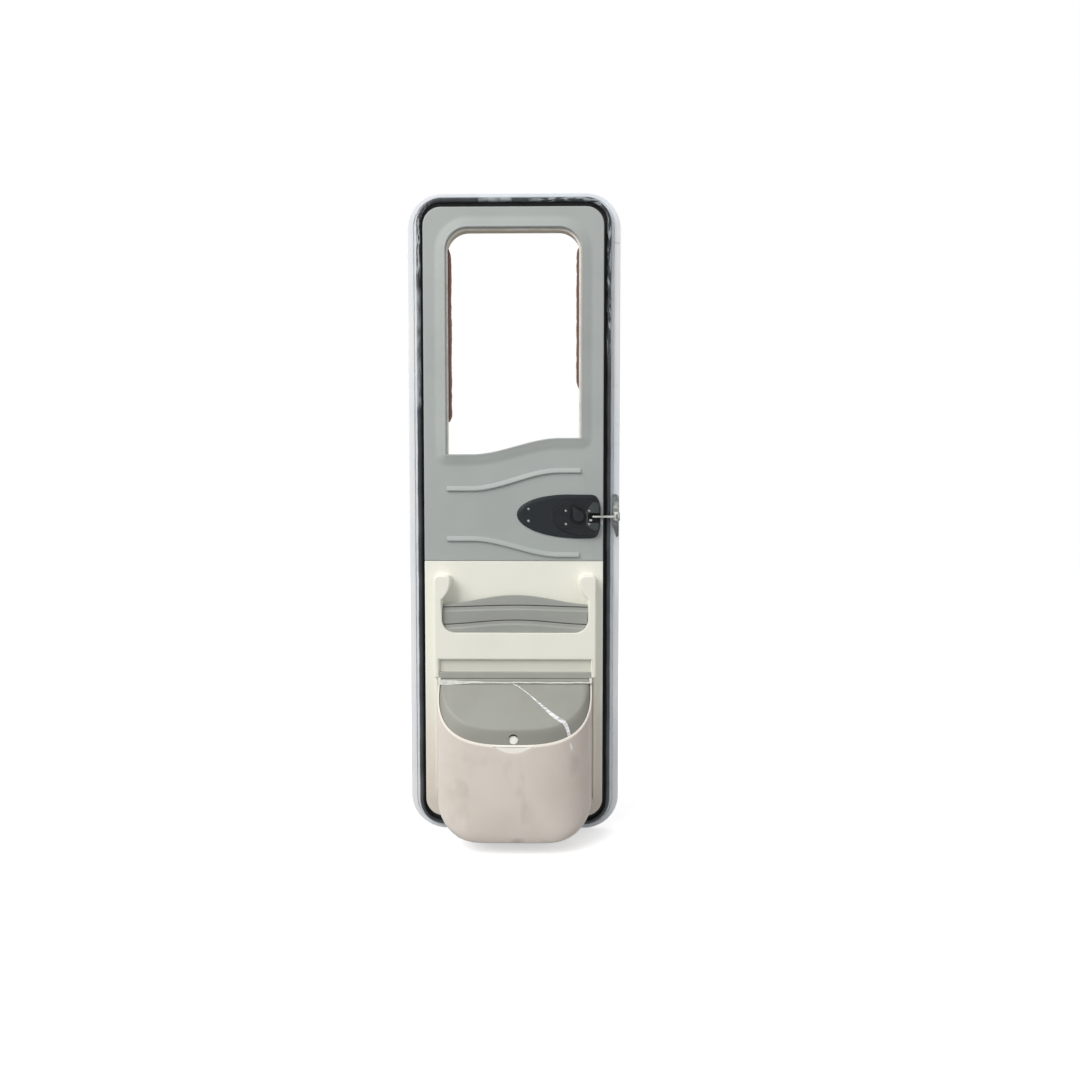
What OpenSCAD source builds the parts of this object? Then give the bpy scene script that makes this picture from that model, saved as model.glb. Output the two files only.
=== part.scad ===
// Caravan entry door, seen from inside: sandwich leaf with a window opening,
// moulded liners, a storage pocket, a litter bin with a hinged lid, and a lock.
// Frame: +Z up, +X towards the lock edge, -Y into the caravan. The origin lies on
// the flat face of the hinge edge, at mid height. Millimetres.

/* [Leaf] */
// Width of the leaf over its flange
leaf_w = 584; // [480:1:700]
// Height of the leaf over its flange
leaf_h = 1764; // [1500:1:2000]
// Corner radius of the leaf
leaf_r = 96; // [60:1:130]
// Depth of the leaf from the outer skin to the liner face
leaf_t = 40; // [30:1:60]
// Thickness of the outer skin
skin_t = 1.2; // [0.8:0.1:3]
// Thickness of the edge flange
flange_t = 3; // [2:0.5:5]
// Height of the raised bead along the flange
bead_t = 2.5; // [1:0.5:5]
// Width of the bead on the two sides
bead_w = 17; // [8:1:22]
// Width of flange left clear beside the seal, on the two sides
flange_side = 25; // [18:1:40]
// Width of flange left clear beside the seal, at top and bottom
flange_end = 15; // [12:1:40]
// Thickness of the web that closes the edge
web_t = 3; // [2:0.5:6]

/* [Seal] */
// Width of the hollow bulb of the seal
bulb_w = 13; // [8:1:18]
// How far the bulb stands out from the flange
bulb_h = 19; // [10:1:26]
// Width from the seal's outer edge to the liner, on the two sides
seal_side = 22; // [16:1:34]
// Width from the seal's outer edge to the liner, at top and bottom
seal_end = 33; // [16:1:44]

/* [Liner] */
// Thickness of the moulded liners
liner_t = 3; // [2:0.5:5]
// Height of the line where the liners meet above the console's horns
split_rise = 36; // [20:1:80]
// Width of the raised ribs
rib_w = 12; // [6:1:20]
// Height of the raised ribs
rib_h = 4; // [2:0.5:8]
// Height of the raised moulding round the window
surround_h = 7; // [3:0.5:12]
// Width of the raised moulding round the window
surround_w = 30; // [15:1:45]

/* [Window opening] */
// Width of the liner beside the opening
window_side = 62; // [40:1:90]
// Distance from the leaf's top edge to the opening's top edge
window_drop = 105; // [85:1:160]
// Height of the sill above the lock, on the hinge side
sill_rise = 170; // [150:1:200]
// How much higher the sill is on the lock side
sill_wave = 44; // [10:1:60]
// Radius of the two upper corners
window_r = 60; // [20:1:90]
// How far the beige strip stands inside the liner's edge
strip_w = 5; // [2:1:10]
// How far the timber battens stand inside the liner's edge
batten_in = 12; // [6:1:20]
// Width of the timber battens
batten_w = 28; // [20:1:40]

/* [Lock] */
// Distance from the escutcheon's lock end to the liner's edge
plate_margin = 7; // [3:1:30]
// Height of the lock above the line where the liners meet
lock_rise = 122; // [100:1:180]
// Length of the escutcheon
plate_len = 229; // [160:1:240]
// Height of the escutcheon
plate_h = 120; // [90:1:140]
// Thickness of the escutcheon
plate_t = 6; // [4:0.5:10]
// Thickness of the lock face plate
face_t = 7; // [4:0.5:10]
// Radius of the round end of the thumb turn
turn_r = 16; // [12:1:20]
// Distance from the thumb turn's axis to its tip
turn_reach = 31.5; // [24:0.5:34]
// Radius of the latch pin
pin_r = 3.5; // [2.5:0.5:5]
// How far the latch pin is thrown
pin_throw = 10; // [6:1:14]

/* [Storage console] */
// Distance from the console to the liner's edge
console_margin = 25; // [15:1:45]
// How far the console stands out from the liner
console_d = 40; // [25:1:60]
// Wall of the console, the insert and the bin
wall_t = 3.5; // [2.5:0.5:6]
// Width of the side rails
rail_w = 11; // [8:1:16]
// Height of the two horns above the floor of the pocket
horn_h = 156; // [130:1:190]
// Width of each horn
horn_w = 46; // [30:1:60]
// Height of the flat band under the pocket
band_h = 74; // [50:1:110]
// Height of the recess under the band
recess_h = 33; // [20:1:50]

/* [Bin] */
// Clearance between the bin and the rails
bin_gap = 1; // [0.5:0.5:5]
// How far the bin stands out from the console
bin_d = 112; // [80:1:150]
// How far the rim drops from the hinge line to the front
rim_drop = 139; // [90:1:180]
// Height of the bin's underside above the leaf's lower edge
bin_foot = 36; // [36:1:100]
// Height of the bin from its underside to the hinge line
bin_h = 401.5; // [320:0.5:480]
// Radius of the two lower corners of the bin
bin_corner = 86; // [60:1:140]
// Clearance between the lid and the bin's wall
lid_gap = 1.2; // [1:0.1:4]
// Radius of the lid's hinge rod
rod_r = 2.5; // [2:0.5:4]
// Radius of the finger hole in the lid
finger_r = 13; // [8:1:15]

/* [Outside] */
// Width of the outer handle plate
handle_w = 64; // [50:1:90]
// Height of the outer handle plate
handle_h = 168; // [120:1:220]

/* [Hidden] */
$fn = 48;

// Levels through the leaf, from the outer face inwards (towards -Y)
out_y = 3.5;
skin_y = out_y - skin_t;
flange_y = skin_y - flange_t;
bead_y = flange_y - bead_t;
liner_y = out_y - leaf_t;
back_y = liner_y + liner_t;
bulb_y = flange_y - bulb_h;
console_y = liner_y - console_d;
bin_y = console_y - bin_d;
plate_y = liner_y - plate_t;
face_y = plate_y - face_t;
pin_y = plate_y - 1;

// Sizes that follow from the driving dimensions
seal_w = leaf_w - 2 * flange_side;
seal_h = leaf_h - 2 * flange_end;
seal_r = leaf_r - flange_side;
liner_w = seal_w - 2 * seal_side;
liner_h = seal_h - 2 * seal_end;
liner_r = seal_r - seal_side;
web_gap = 1;
arc_steps = 10;
overlap = 1;
seat_gap = 0.3;
console_w = liner_w - 2 * console_margin;

// Heights, stacked from the leaf's lower edge upwards
bin_bottom = -leaf_h / 2 + bin_foot;
hinge_z = bin_bottom + bin_h;
strip_bottom = hinge_z + 7.5;
strip_top = strip_bottom + 16;
recess_top = strip_top + recess_h;
cut_bottom = recess_top + band_h;
horn_top = cut_bottom + horn_h;
split_z = horn_top + split_rise;
lock_z = split_z + lock_rise;
sill_low = lock_z + sill_rise;
sill_high = sill_low + sill_wave;
window_top = leaf_h / 2 - window_drop;

// Window
window_w = liner_w - 2 * window_side;
half_window = window_w / 2;
strip_z = sill_low + 20;
strip_depth = 9;
wave_from = -half_window + 68;
wave_to = half_window - 58;
wave_steps = 16;
core_gap = 0.3;
batten_top = window_top - 44;
batten_left_h = 471;
batten_right_h = 380;
rib_upper = 76;
rib_upper_rise = 49;
rib_lower = -61;
rib_lower_fall = 44;
opening_drop = 4;

// Lock
plate_reach = liner_w / 2 - plate_margin;
turn_x = plate_reach - 62;
turn_z = lock_z + 1;
turn_angle = 120;
turn_tip_r = 2.5;
turn_t = 12;
turn_lift = 2.5;
shaft_r = 5;
run_gap = 0.05;
notch_x = plate_reach - 35;
notch_low = lock_z - 17;
notch_high = lock_z + 10;
pin_from = notch_x + pin_throw + 2;
guide_w = 16;
guide_low = lock_z - 57;
guide_high = lock_z + 62;
guide_to = leaf_w / 2 - 2;
guide_from = guide_to - guide_w;
boss_half = 13;
screw_r = 3.2;
screw_t = 2;

// Console
console_x = 5;
horn_drop = 68;
cut_r = 36;
cut_half = console_w / 2 - 22;
insert_top = cut_bottom + 101;
insert_dip = 26;
hinge_y = console_y + 1;
knuckle_r = 5.5;
rail_bottom = bin_bottom + 66;
rail_d = 26;

// Bin
bin_half = console_w / 2 - rail_w - bin_gap;
tab_from = bin_half - 7;
tab_w = console_w / 2 - rail_w - seat_gap - tab_from;
lid_lift = 0.9;
bin_power = 2.9;
rim_z = hinge_z - knuckle_r - 1;
bin_steps = 24;
lid_flat_drop = 112;
lid_edge = 0.80;
lid_t = 4.5;
finger_rise = 19;
finger_cut = 60;
bottom_curve = 12;

foot_draw = 1.05;
foot_square = 4.5;

// Corner-rounded rectangle, centred, as points of straight sides and arcs
function rounded_points(w, h, r) = [
    for (q = [0:3], i = [0:arc_steps])
        let (
            a = 90 * (q + i / arc_steps),
            cx = (q == 0 || q == 3 ? 1 : -1) * (w / 2 - r),
            cz = (q < 2 ? 1 : -1) * (h / 2 - r)
        )
        [cx + r * cos(a), cz + r * sin(a)]
];

// Smooth rise from 0 to 1 as x goes from a to b
function rise(x, a, b) =
    let (s = max(0, min(1, (x - a) / (b - a)))) s * s * (3 - 2 * s);

// Height of the wavy sill at x
function sill(x) = sill_low + (sill_high - sill_low) * rise(x, wave_from, wave_to);

// Outline of the window opening, grown outwards by g
function window_points(g) = concat(
    [for (i = [0:arc_steps])
        let (a = 90 * i / arc_steps)
        [half_window - window_r + (window_r + g) * cos(a),
         window_top - window_r + (window_r + g) * sin(a)]],
    [for (i = [0:arc_steps])
        let (a = 90 + 90 * i / arc_steps)
        [-half_window + window_r + (window_r + g) * cos(a),
         window_top - window_r + (window_r + g) * sin(a)]],
    [for (i = [0:wave_steps])
        let (x = -half_window - g + (window_w + 2 * g) * i / wave_steps)
        [x, sill(x) - g]]
);

// Outline of a rib of the liner that runs from height z0 to z1
function rib_points(x0, x1, z0, z1) = concat(
    [for (i = [0:wave_steps])
        let (x = x0 + (x1 - x0) * i / wave_steps)
        [x, z0 + (z1 - z0) * rise(x, wave_from, wave_to) - rib_w / 2]],
    [for (i = [wave_steps:-1:0])
        let (x = x0 + (x1 - x0) * i / wave_steps)
        [x, z0 + (z1 - z0) * rise(x, wave_from, wave_to) + rib_w / 2]]
);

// Half height of an egg-shaped plate whose widest place is at x = wide
function egg_half(x, from, wide, to, half) =
    x < wide
        ? half * sqrt(max(0, 1 - pow((wide - x) / (wide - from), 2.2)))
        : half * sqrt(max(0, 1 - pow((x - wide) / (to + 1 - wide), 6)));

// Egg outline: the middle line climbs towards the pointed end by lean
function egg_points(from, wide, to, half, lean, steps) = concat(
    [for (i = [0:steps])
        let (u = 1 - cos(90 * i / steps), x = from + (wide - from) * u)
        [x, lean * (wide - x) / (wide - from) + egg_half(x, from, wide, to, half)]],
    [for (i = [1:steps])
        let (x = wide + (to - wide) * sin(90 * i / steps))
        [x, egg_half(x, from, wide, to, half)]],
    [for (i = [steps:-1:1])
        let (x = wide + (to - wide) * sin(90 * i / steps))
        [x, -egg_half(x, from, wide, to, half)]],
    [for (i = [steps:-1:1])
        let (u = 1 - cos(90 * i / steps), x = from + (wide - from) * u)
        [x, lean * (wide - x) / (wide - from) - egg_half(x, from, wide, to, half)]]
);

// Outline of the thumb turn: a round end joined by tangents to a small tip
function turn_points() =
    let (
        b = acos((turn_r - turn_tip_r) / turn_reach),
        tip = [turn_reach * cos(turn_angle), turn_reach * sin(turn_angle)]
    )
    concat(
        [for (i = [0:24])
            let (a = turn_angle + b + (360 - 2 * b) * i / 24)
            [turn_r * cos(a), turn_r * sin(a)]],
        [for (i = [0:6])
            let (a = turn_angle - b + 2 * b * i / 6)
            tip + [turn_tip_r * cos(a), turn_tip_r * sin(a)]]
    );

// Everything is drawn about the leaf's middle and moved so that the hinge edge is at x = 0
module placed() {
    translate([leaf_w / 2, 0, 0]) children();
}

// A flat piece from depth level y_deep out to y_near, drawn in the door's own plane
module slab(y_deep, y_near) {
    translate([0, y_deep, 0]) rotate([90, 0, 0]) linear_extrude(y_deep - y_near) children();
}

// A flat band between two corner-rounded outlines
module band(w, h, r, side, end) {
    difference() {
        polygon(rounded_points(w, h, r));
        polygon(rounded_points(w - 2 * side, h - 2 * end, max(2, r - side)));
    }
}

// Closed skin through rings that all have the same even number of points
module loft(rings) {
    n = len(rings[0]);
    m = len(rings);
    points = [for (ring = rings, p = ring) p];
    sides = [for (k = [0:m - 2], j = [0:n - 1])
        let (a = k * n + j, b = k * n + (j + 1) % n, c = b + n, d = a + n)
        each [[a, b, c], [a, c, d]]];
    first = [for (j = [0:n / 2 - 2])
        each [[j, n - 1 - j, n - 2 - j], [j, n - 2 - j, j + 1]]];
    last = [for (j = [0:n / 2 - 2])
        let (s = (m - 1) * n)
        each [[s + j, s + n - 2 - j, s + n - 1 - j], [s + j, s + j + 1, s + n - 2 - j]]];
    polyhedron(points = points, faces = concat(sides, first, last), convexity = 6);
}

module outer_skin() {
    color("whitesmoke") placed() slab(out_y, skin_y) difference() {
        polygon(rounded_points(leaf_w, leaf_h, leaf_r));
        skin_opening();
    }
}

// Opening through skin and core: the liner's opening with a straight sill
module skin_opening() {
    polygon(concat(
        [for (p = window_points(0)) if (p[1] > sill_high + 1) p],
        [[-half_window, sill_low - opening_drop], [half_window, sill_low - opening_drop]]
    ));
}

module edge_frame() {
    inner_w = liner_w - 2 * web_gap;
    inner_h = liner_h - 2 * web_gap;
    color("gainsboro") placed() difference() {
        union() {
            slab(skin_y, flange_y) band(leaf_w, leaf_h, leaf_r,
                (leaf_w - inner_w) / 2 + web_t, (leaf_h - inner_h) / 2 + web_t);
            slab(flange_y + overlap, back_y) band(inner_w, inner_h, liner_r - web_gap,
                web_t, web_t);
            slab(flange_y + overlap, bead_y) band(leaf_w, leaf_h, leaf_r,
                bead_w, bead_w * flange_end / flange_side);
        }
        butt_joint();
    }
}

// Saw line where the two ends of the bent section meet, on the lock side
module butt_joint() {
    joint_z = leaf_h / 2 - 136;
    joint_w = 2;
    translate([leaf_w / 2 - bead_w - overlap, bead_y - overlap, joint_z])
        cube([bead_w + 2 * overlap, bead_t + 1.5, joint_w]);
}

module door_core() {
    inner_w = liner_w - 2 * web_gap - 2 * web_t - 2 * core_gap;
    inner_h = liner_h - 2 * web_gap - 2 * web_t - 2 * core_gap;
    color("khaki") placed() slab(skin_y, back_y) difference() {
        polygon(rounded_points(inner_w, inner_h, liner_r - web_gap - web_t - core_gap));
        skin_opening();
        for (side = [-1, 1]) batten_outline(side, core_gap);
    }
}

// Front outline of a batten on one side, grown by g
module batten_outline(side, g) {
    h = side < 0 ? batten_left_h : batten_right_h;
    x = side * (half_window - batten_in + batten_w / 2);
    translate([x, batten_top - h / 2]) square([batten_w + 2 * g, h + 2 * g], center = true);
}

module window_batten(side) {
    color("saddlebrown") placed()
        slab(skin_y - core_gap, back_y + strip_depth + core_gap) batten_outline(side, 0);
}

module window_batten_left() window_batten(-1);
module window_batten_right() window_batten(1);

module window_strip() {
    color("rosybrown") placed() slab(back_y + strip_depth, back_y) intersection() {
        difference() {
            polygon(window_points(0));
            polygon(window_points(-strip_w));
        }
        translate([0, strip_z + window_top / 2]) square([leaf_w, window_top], center = true);
    }
}

module perimeter_seal() {
    base_t = 5;
    inner_w = liner_w - 2 * web_gap;
    inner_h = liner_h - 2 * web_gap;
    color("black") placed() {
        slab(flange_y, flange_y - base_t) difference() {
            polygon(rounded_points(seal_w - 2, seal_h - 2, seal_r - 1));
            polygon(rounded_points(inner_w + 2 * seat_gap, inner_h + 2 * seat_gap, liner_r));
        }
        slab(flange_y - base_t + overlap, bulb_y) difference() {
            polygon(rounded_points(seal_w, seal_h, seal_r));
            polygon(rounded_points(seal_w - 2 * bulb_w, seal_h - 2 * bulb_w, seal_r - bulb_w));
        }
    }
}

// Outline of both liners together
module liner_outline() {
    polygon(rounded_points(liner_w, liner_h, liner_r));
}

module upper_liner() {
    lip = surround_w * 0.4;
    rib_left = -half_window;
    color("darkgray") placed() {
        difference() {
            union() {
                slab(back_y, liner_y) intersection() {
                    liner_outline();
                    translate([0, split_z + leaf_h / 2]) square([leaf_w, leaf_h], center = true);
                }
                slab(liner_y + overlap, liner_y - surround_h / 2) polygon(window_points(surround_w * 0.75));
                slab(liner_y + overlap, liner_y - surround_h) polygon(window_points(lip));
                slab(liner_y + overlap, liner_y - rib_h)
                    polygon(rib_points(rib_left, half_window, lock_z + rib_upper,
                        lock_z + rib_upper + rib_upper_rise));
                slab(liner_y + overlap, liner_y - rib_h)
                    polygon(rib_points(rib_left, half_window - 4, lock_z + rib_lower,
                        lock_z + rib_lower - rib_lower_fall));
            }
            slab(back_y + overlap, liner_y - surround_h - overlap) polygon(window_points(0));
        }
    }
}

module lower_liner() {
    color("ivory") placed() slab(back_y, liner_y) intersection() {
        liner_outline();
        translate([0, split_z - leaf_h / 2]) square([leaf_w, leaf_h], center = true);
    }
}

module plate_notch() {
    translate([notch_x, face_y - overlap, notch_low])
        cube([plate_reach - notch_x + 2, liner_y - face_y + 2 * overlap, notch_high - notch_low]);
}

module lock_escutcheon() {
    wide = plate_reach - 63;
    color("darkslategray") placed() difference() {
        slab(liner_y, plate_y) translate([0, lock_z])
            polygon(egg_points(plate_reach - plate_len, wide, plate_reach, plate_h / 2, 6, 14));
        plate_notch();
    }
}

module lock_face_plate() {
    wide = plate_reach - 46;
    color("dimgray") placed() difference() {
        slab(plate_y, face_y) translate([0, lock_z])
            polygon(egg_points(plate_reach - 128, wide, plate_reach - 1.5, plate_h / 2 - 9, 1, 12));
        plate_notch();
        translate([turn_x, plate_y + overlap, turn_z]) rotate([90, 0, 0])
            cylinder(h = face_t + 2 * overlap, r = shaft_r + run_gap);
    }
}

// Round screw head that stands on the level y
module screw_head(x, z, y) {
    translate([x, y, z]) rotate([90, 0, 0]) cylinder(h = screw_t, r = screw_r, $fn = 24);
}

module escutcheon_screws() {
    color("silver") placed() for (z = [-12, 21])
        screw_head(plate_reach - 197, lock_z + z, plate_y);
}

module face_plate_screws() {
    color("silver") placed() for (x = [plate_reach - 95, plate_reach - 32], z = [-20, 15.5])
        screw_head(x, lock_z + z, face_y);
}

module thumb_turn() {
    color("darkslategray") placed() translate([turn_x, 0, turn_z]) {
        slab(face_y - turn_lift, face_y - turn_lift - turn_t) polygon(turn_points());
        translate([0, plate_y - seat_gap, 0]) rotate([90, 0, 0])
            cylinder(h = plate_y - face_y + turn_lift + overlap, r = shaft_r);
    }
}

module latch_pin() {
    color("silver") placed() translate([pin_from, pin_y, lock_z]) rotate([0, 90, 0])
        cylinder(h = guide_to - pin_from, r = pin_r);
}

module latch_guide() {
    top_r = 10;
    color("slategray") placed() difference() {
        union() {
            slab(bead_y, bead_y - 6) polygon([
                [guide_from, guide_low + 34], [guide_to - 6, guide_low], [guide_to, guide_low + 4],
                [guide_to, guide_high - top_r],
                for (a = [15:15:75]) [guide_to - top_r + top_r * cos(a), guide_high - top_r + top_r * sin(a)],
                [guide_to - top_r, guide_high], [guide_from, guide_high]
            ]);
            translate([guide_from, pin_y - pin_r - 5, lock_z - boss_half])
                cube([guide_w, bead_y - pin_y + pin_r + 5, 2 * boss_half]);
        }
        translate([guide_from - overlap, pin_y, lock_z]) rotate([0, 90, 0])
            cylinder(h = guide_w + 2 * overlap, r = pin_r + run_gap);
    }
}

// Front outline of the console: side bars, two horns and the band under the pocket
module console_outline() {
    half = console_w / 2;
    inner = half - horn_w;
    neck = cut_half;
    bulge = 12;
    polygon([
        [half, strip_bottom], [half, horn_top - bulge],
        for (a = [15:15:75]) [half - bulge + bulge * cos(a), horn_top - bulge + bulge * sin(a)],
        [inner + bulge, horn_top],
        for (a = [105:15:180]) [inner + bulge + bulge * cos(a), horn_top - bulge + bulge * sin(a)],
        for (t = [0.2:0.2:1]) [inner + (neck - inner) * t * t, horn_top - bulge - (horn_drop - bulge) * t],
        for (a = [0:-15:-90]) [neck - cut_r + cut_r * cos(a), cut_bottom + cut_r + cut_r * sin(a)],
        for (a = [-90:-15:-180]) [-neck + cut_r + cut_r * cos(a), cut_bottom + cut_r + cut_r * sin(a)],
        for (t = [1:-0.2:0.2]) [-inner - (neck - inner) * t * t, horn_top - bulge - (horn_drop - bulge) * t],
        for (a = [0:15:75]) [-inner - bulge + bulge * cos(a), horn_top - bulge + bulge * sin(a)],
        [-inner - bulge, horn_top],
        for (a = [105:15:180]) [-half + bulge + bulge * cos(a), horn_top - bulge + bulge * sin(a)],
        [-half, strip_bottom]
    ]);
}

module storage_console() {
    half = console_w / 2;
    color("ivory") placed() translate([console_x, 0, 0]) difference() {
        slab(liner_y, console_y) console_outline();
        // hollow behind the band and the bars
        slab(liner_y + overlap, console_y + wall_t) {
            translate([0, (cut_bottom - wall_t + recess_top + wall_t) / 2])
                square([console_w - 2 * wall_t, cut_bottom - recess_top - 2 * wall_t], center = true);
            for (side = [-1, 1])
                translate([side * (half + cut_half) / 2, (horn_top + recess_top) / 2 - 12])
                    square([half - cut_half - 2 * wall_t, horn_top - recess_top - 40], center = true);
        }
        // recess above the hinge strip
        translate([-cut_half - 8, console_y - overlap, strip_bottom - overlap])
            cube([2 * cut_half + 16, 10 + overlap, recess_top - strip_bottom + overlap]);
        // seat of the hinge strip
        translate([-cut_half - 8, console_y - overlap, strip_bottom - overlap])
            cube([2 * cut_half + 16, console_d - wall_t + overlap, strip_top - strip_bottom + overlap]);
    }
}

// Arched top of the insert and its steps
function arch(x, top, dip) = top - dip * (1 - cos(min(180, abs(x) / cut_half * 165))) / 2;

module insert_band(top, dip, low, y_front) {
    reach = cut_half - 1;
    slab(console_y + 26, y_front) intersection() {
        polygon(concat(
            [for (i = [0:wave_steps])
                let (x = -reach + 2 * reach * i / wave_steps) [x, arch(x, top, dip)]],
            [[reach, low], [-reach, low]]
        ));
        polygon(concat(
            [for (a = [0:-15:-90])
                [reach - cut_r + cut_r * cos(a), cut_bottom + seat_gap + cut_r + cut_r * sin(a)]],
            [for (a = [-90:-15:-180])
                [-reach + cut_r + cut_r * cos(a), cut_bottom + seat_gap + cut_r + cut_r * sin(a)]],
            [[-reach, horn_top], [reach, horn_top]]
        ));
    }
}

module pocket_insert() {
    low = cut_bottom + seat_gap;
    color("gray") placed() translate([console_x, 0, 0]) {
        insert_band(insert_top, insert_dip, low, console_y + 16);
        insert_band(insert_top - 27, 5, low, console_y + 11);
        insert_band(insert_top - 67, 12, low, console_y + 6);
    }
}

// Rail beside the bin, on one side
module rail(side) {
    x = side * (console_w / 2 - rail_w / 2);
    color("ivory") placed() translate([console_x + x, 0, 0]) slab(liner_y, liner_y - rail_d) polygon([
        [-rail_w / 2, strip_bottom - seat_gap], [rail_w / 2, strip_bottom - seat_gap],
        [rail_w / 2, rail_bottom + 20], [rail_w / 4, rail_bottom],
        [-rail_w / 4, rail_bottom], [-rail_w / 2, rail_bottom + 20]
    ]);
}

module left_rail() rail(-1);
module right_rail() rail(1);

module hinge_strip() {
    reach = cut_half + 8 - seat_gap;
    color("gray") placed() translate([console_x - reach, console_y + 1.5, strip_bottom + seat_gap])
        cube([2 * reach, console_d - wall_t - 2, strip_top - strip_bottom - 2 * seat_gap]);
}

// Small ear that carries one end of the hinge rod
module hinge_tab(side) {
    x = side > 0 ? tab_from : -tab_from - tab_w;
    color("ivory") placed() difference() {
        translate([console_x + x, hinge_y - knuckle_r, hinge_z - knuckle_r])
            cube([tab_w, liner_y - hinge_y + knuckle_r, strip_bottom - hinge_z + knuckle_r - seat_gap]);
        translate([console_x + x - overlap, hinge_y, hinge_z]) rotate([0, 90, 0])
            cylinder(h = tab_w + 2 * overlap, r = rod_r + run_gap);
    }
}

module left_hinge_tab() hinge_tab(-1);
module right_hinge_tab() hinge_tab(1);

module hinge_rod() {
    reach = tab_from + tab_w;
    color("silver") placed() translate([console_x - reach, hinge_y, hinge_z]) rotate([0, 90, 0])
        cylinder(h = 2 * reach, r = rod_r);
}

module lid_knuckle() {
    reach = tab_from - 1;
    color("gray") placed() translate([console_x - reach, hinge_y, hinge_z]) rotate([0, 90, 0])
        difference() {
            cylinder(h = 2 * reach, r = knuckle_r);
            translate([0, 0, -overlap]) cylinder(h = 2 * reach + 2 * overlap, r = rod_r + run_gap);
        }
}

// Depth of the bin's front curve at x, for a half width of half
function bin_depth(x, half, depth, power = bin_power) =
    depth * pow(max(0, 1 - pow(abs(x) / half, power)), 1 / power);

// Height of the sloping rim at the distance d in front of the console
function rim_height(d) = rim_z - rim_drop * d / bin_d;

// Height of the lid's upper face at x and at the distance d in front of the console
function lid_height(x, d, half, depth) =
    let (
        s = pow(pow(abs(x) / half, bin_power) + pow(d / depth, bin_power), 1 / bin_power),
        w = pow(max(0, (min(1, s) - lid_edge) / (1 - lid_edge)), 2)
    )
    (rim_z + lid_lift - lid_flat_drop * d / bin_d) * (1 - w) + (rim_height(d) + 2) * w;

module bin_lid() {
    half = bin_half - wall_t - lid_gap;
    depth = bin_d - wall_t - lid_gap;
    along = 10;
    steps = 40;
    start = 0.5;
    rings = [for (i = [0:steps])
        let (
            x = -half * 0.985 * cos(180 * i / steps),
            far = bin_depth(x, half, depth)
        )
        concat(
            [for (j = [0:along])
                let (d = start + (far - start) * sin(90 * j / along))
                [x, console_y - d, lid_height(x, d, half, depth)]],
            [for (j = [along:-1:0])
                let (d = start + (far - start) * sin(90 * j / along))
                [x, console_y - d, lid_height(x, d, half, depth) - lid_t]]
        )];
    color("gray") placed() translate([console_x, 0, 0]) difference() {
        loft(rings);
        translate([0, bin_y, rim_height(bin_d) + finger_rise]) rotate([90, 0, 0])
            cylinder(h = finger_cut, r = finger_r, center = true);
    }
}

// One ring of the bin at the fall f from the rim (0) to the underside (1), inset by t
function bin_ring(f, t, low) =
    let (
        side_n = bin_steps,
        drop = low + bin_corner,
        front = [for (i = [0:side_n])
            let (
                x = -(bin_half - t) * cos(180 * i / side_n),
                top = rim_height(bin_depth(x, bin_half - t, bin_d - t)),
                z = top + (low - top) * f,
                lift = max(0, (drop - z) / bin_corner),
                pull = 1 - sqrt(max(0, 1 - lift * lift)),
                d = bin_depth(x, bin_half - t, bin_d - t, bin_power + foot_square * pull)
            )
            [x * (1 - pull * bin_corner * foot_draw / bin_half), console_y - d + pull * bottom_curve, z]]
    )
    concat(
        front,
        [for (i = [side_n:-1:0])
            let (
                x = -(bin_half - t) * cos(180 * i / side_n),
                z = rim_z + (low - rim_z) * f,
                lift = max(0, (drop - z) / bin_corner),
                pull = 1 - sqrt(max(0, 1 - lift * lift))
            )
            [x * (1 - pull * bin_corner * foot_draw / bin_half), liner_y - seat_gap - t, z]]
    );

module bin_body() {
    falls = [0, 0.2, 0.4, 0.6, 0.72, 0.8, 0.86, 0.91, 0.95, 0.98, 1];
    outer = [for (i = [len(falls) - 1:-1:0]) bin_ring(falls[i], 0, bin_bottom)];
    inner = [for (f = falls) bin_ring(f, wall_t, bin_bottom + wall_t)];
    color("linen") placed() translate([console_x, 0, 0]) loft(concat(outer, inner));
}

module outer_handle_plate() {
    color("dimgray") placed() translate([turn_x, 0, turn_z])
        slab(out_y + 6, out_y) polygon(rounded_points(handle_w, handle_h, 24));
}

module outer_handle() {
    grip_w = handle_w - 24;
    color("black") placed() translate([turn_x, 0, turn_z + 24])
        slab(out_y + 22, out_y + 6) polygon(rounded_points(grip_w, handle_h * 0.5, 14));
}

module key_cylinder() {
    color("silver") placed() translate([turn_x, out_y + 10, turn_z - handle_h / 2 + 32])
        rotate([90, 0, 0]) cylinder(h = 4, r = 11);
}

outer_skin();
edge_frame();
door_core();
perimeter_seal();
window_batten_left();
window_batten_right();
window_strip();
upper_liner();
lower_liner();
lock_escutcheon();
lock_face_plate();
escutcheon_screws();
face_plate_screws();
thumb_turn();
latch_pin();
latch_guide();
storage_console();
pocket_insert();
left_rail();
right_rail();
hinge_strip();
left_hinge_tab();
right_hinge_tab();
hinge_rod();
lid_knuckle();
bin_lid();
bin_body();
outer_handle_plate();
outer_handle();
key_cylinder();
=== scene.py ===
# %% [markdown]
# A caravan entry door, seen from inside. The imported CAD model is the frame: every piece here
# is made in the same space, in metres, and rides on one of its bodies. The shapes are worked
# out with numpy and the finishes with shader nodes, so no image is read.

# %% The frame
import math

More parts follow.
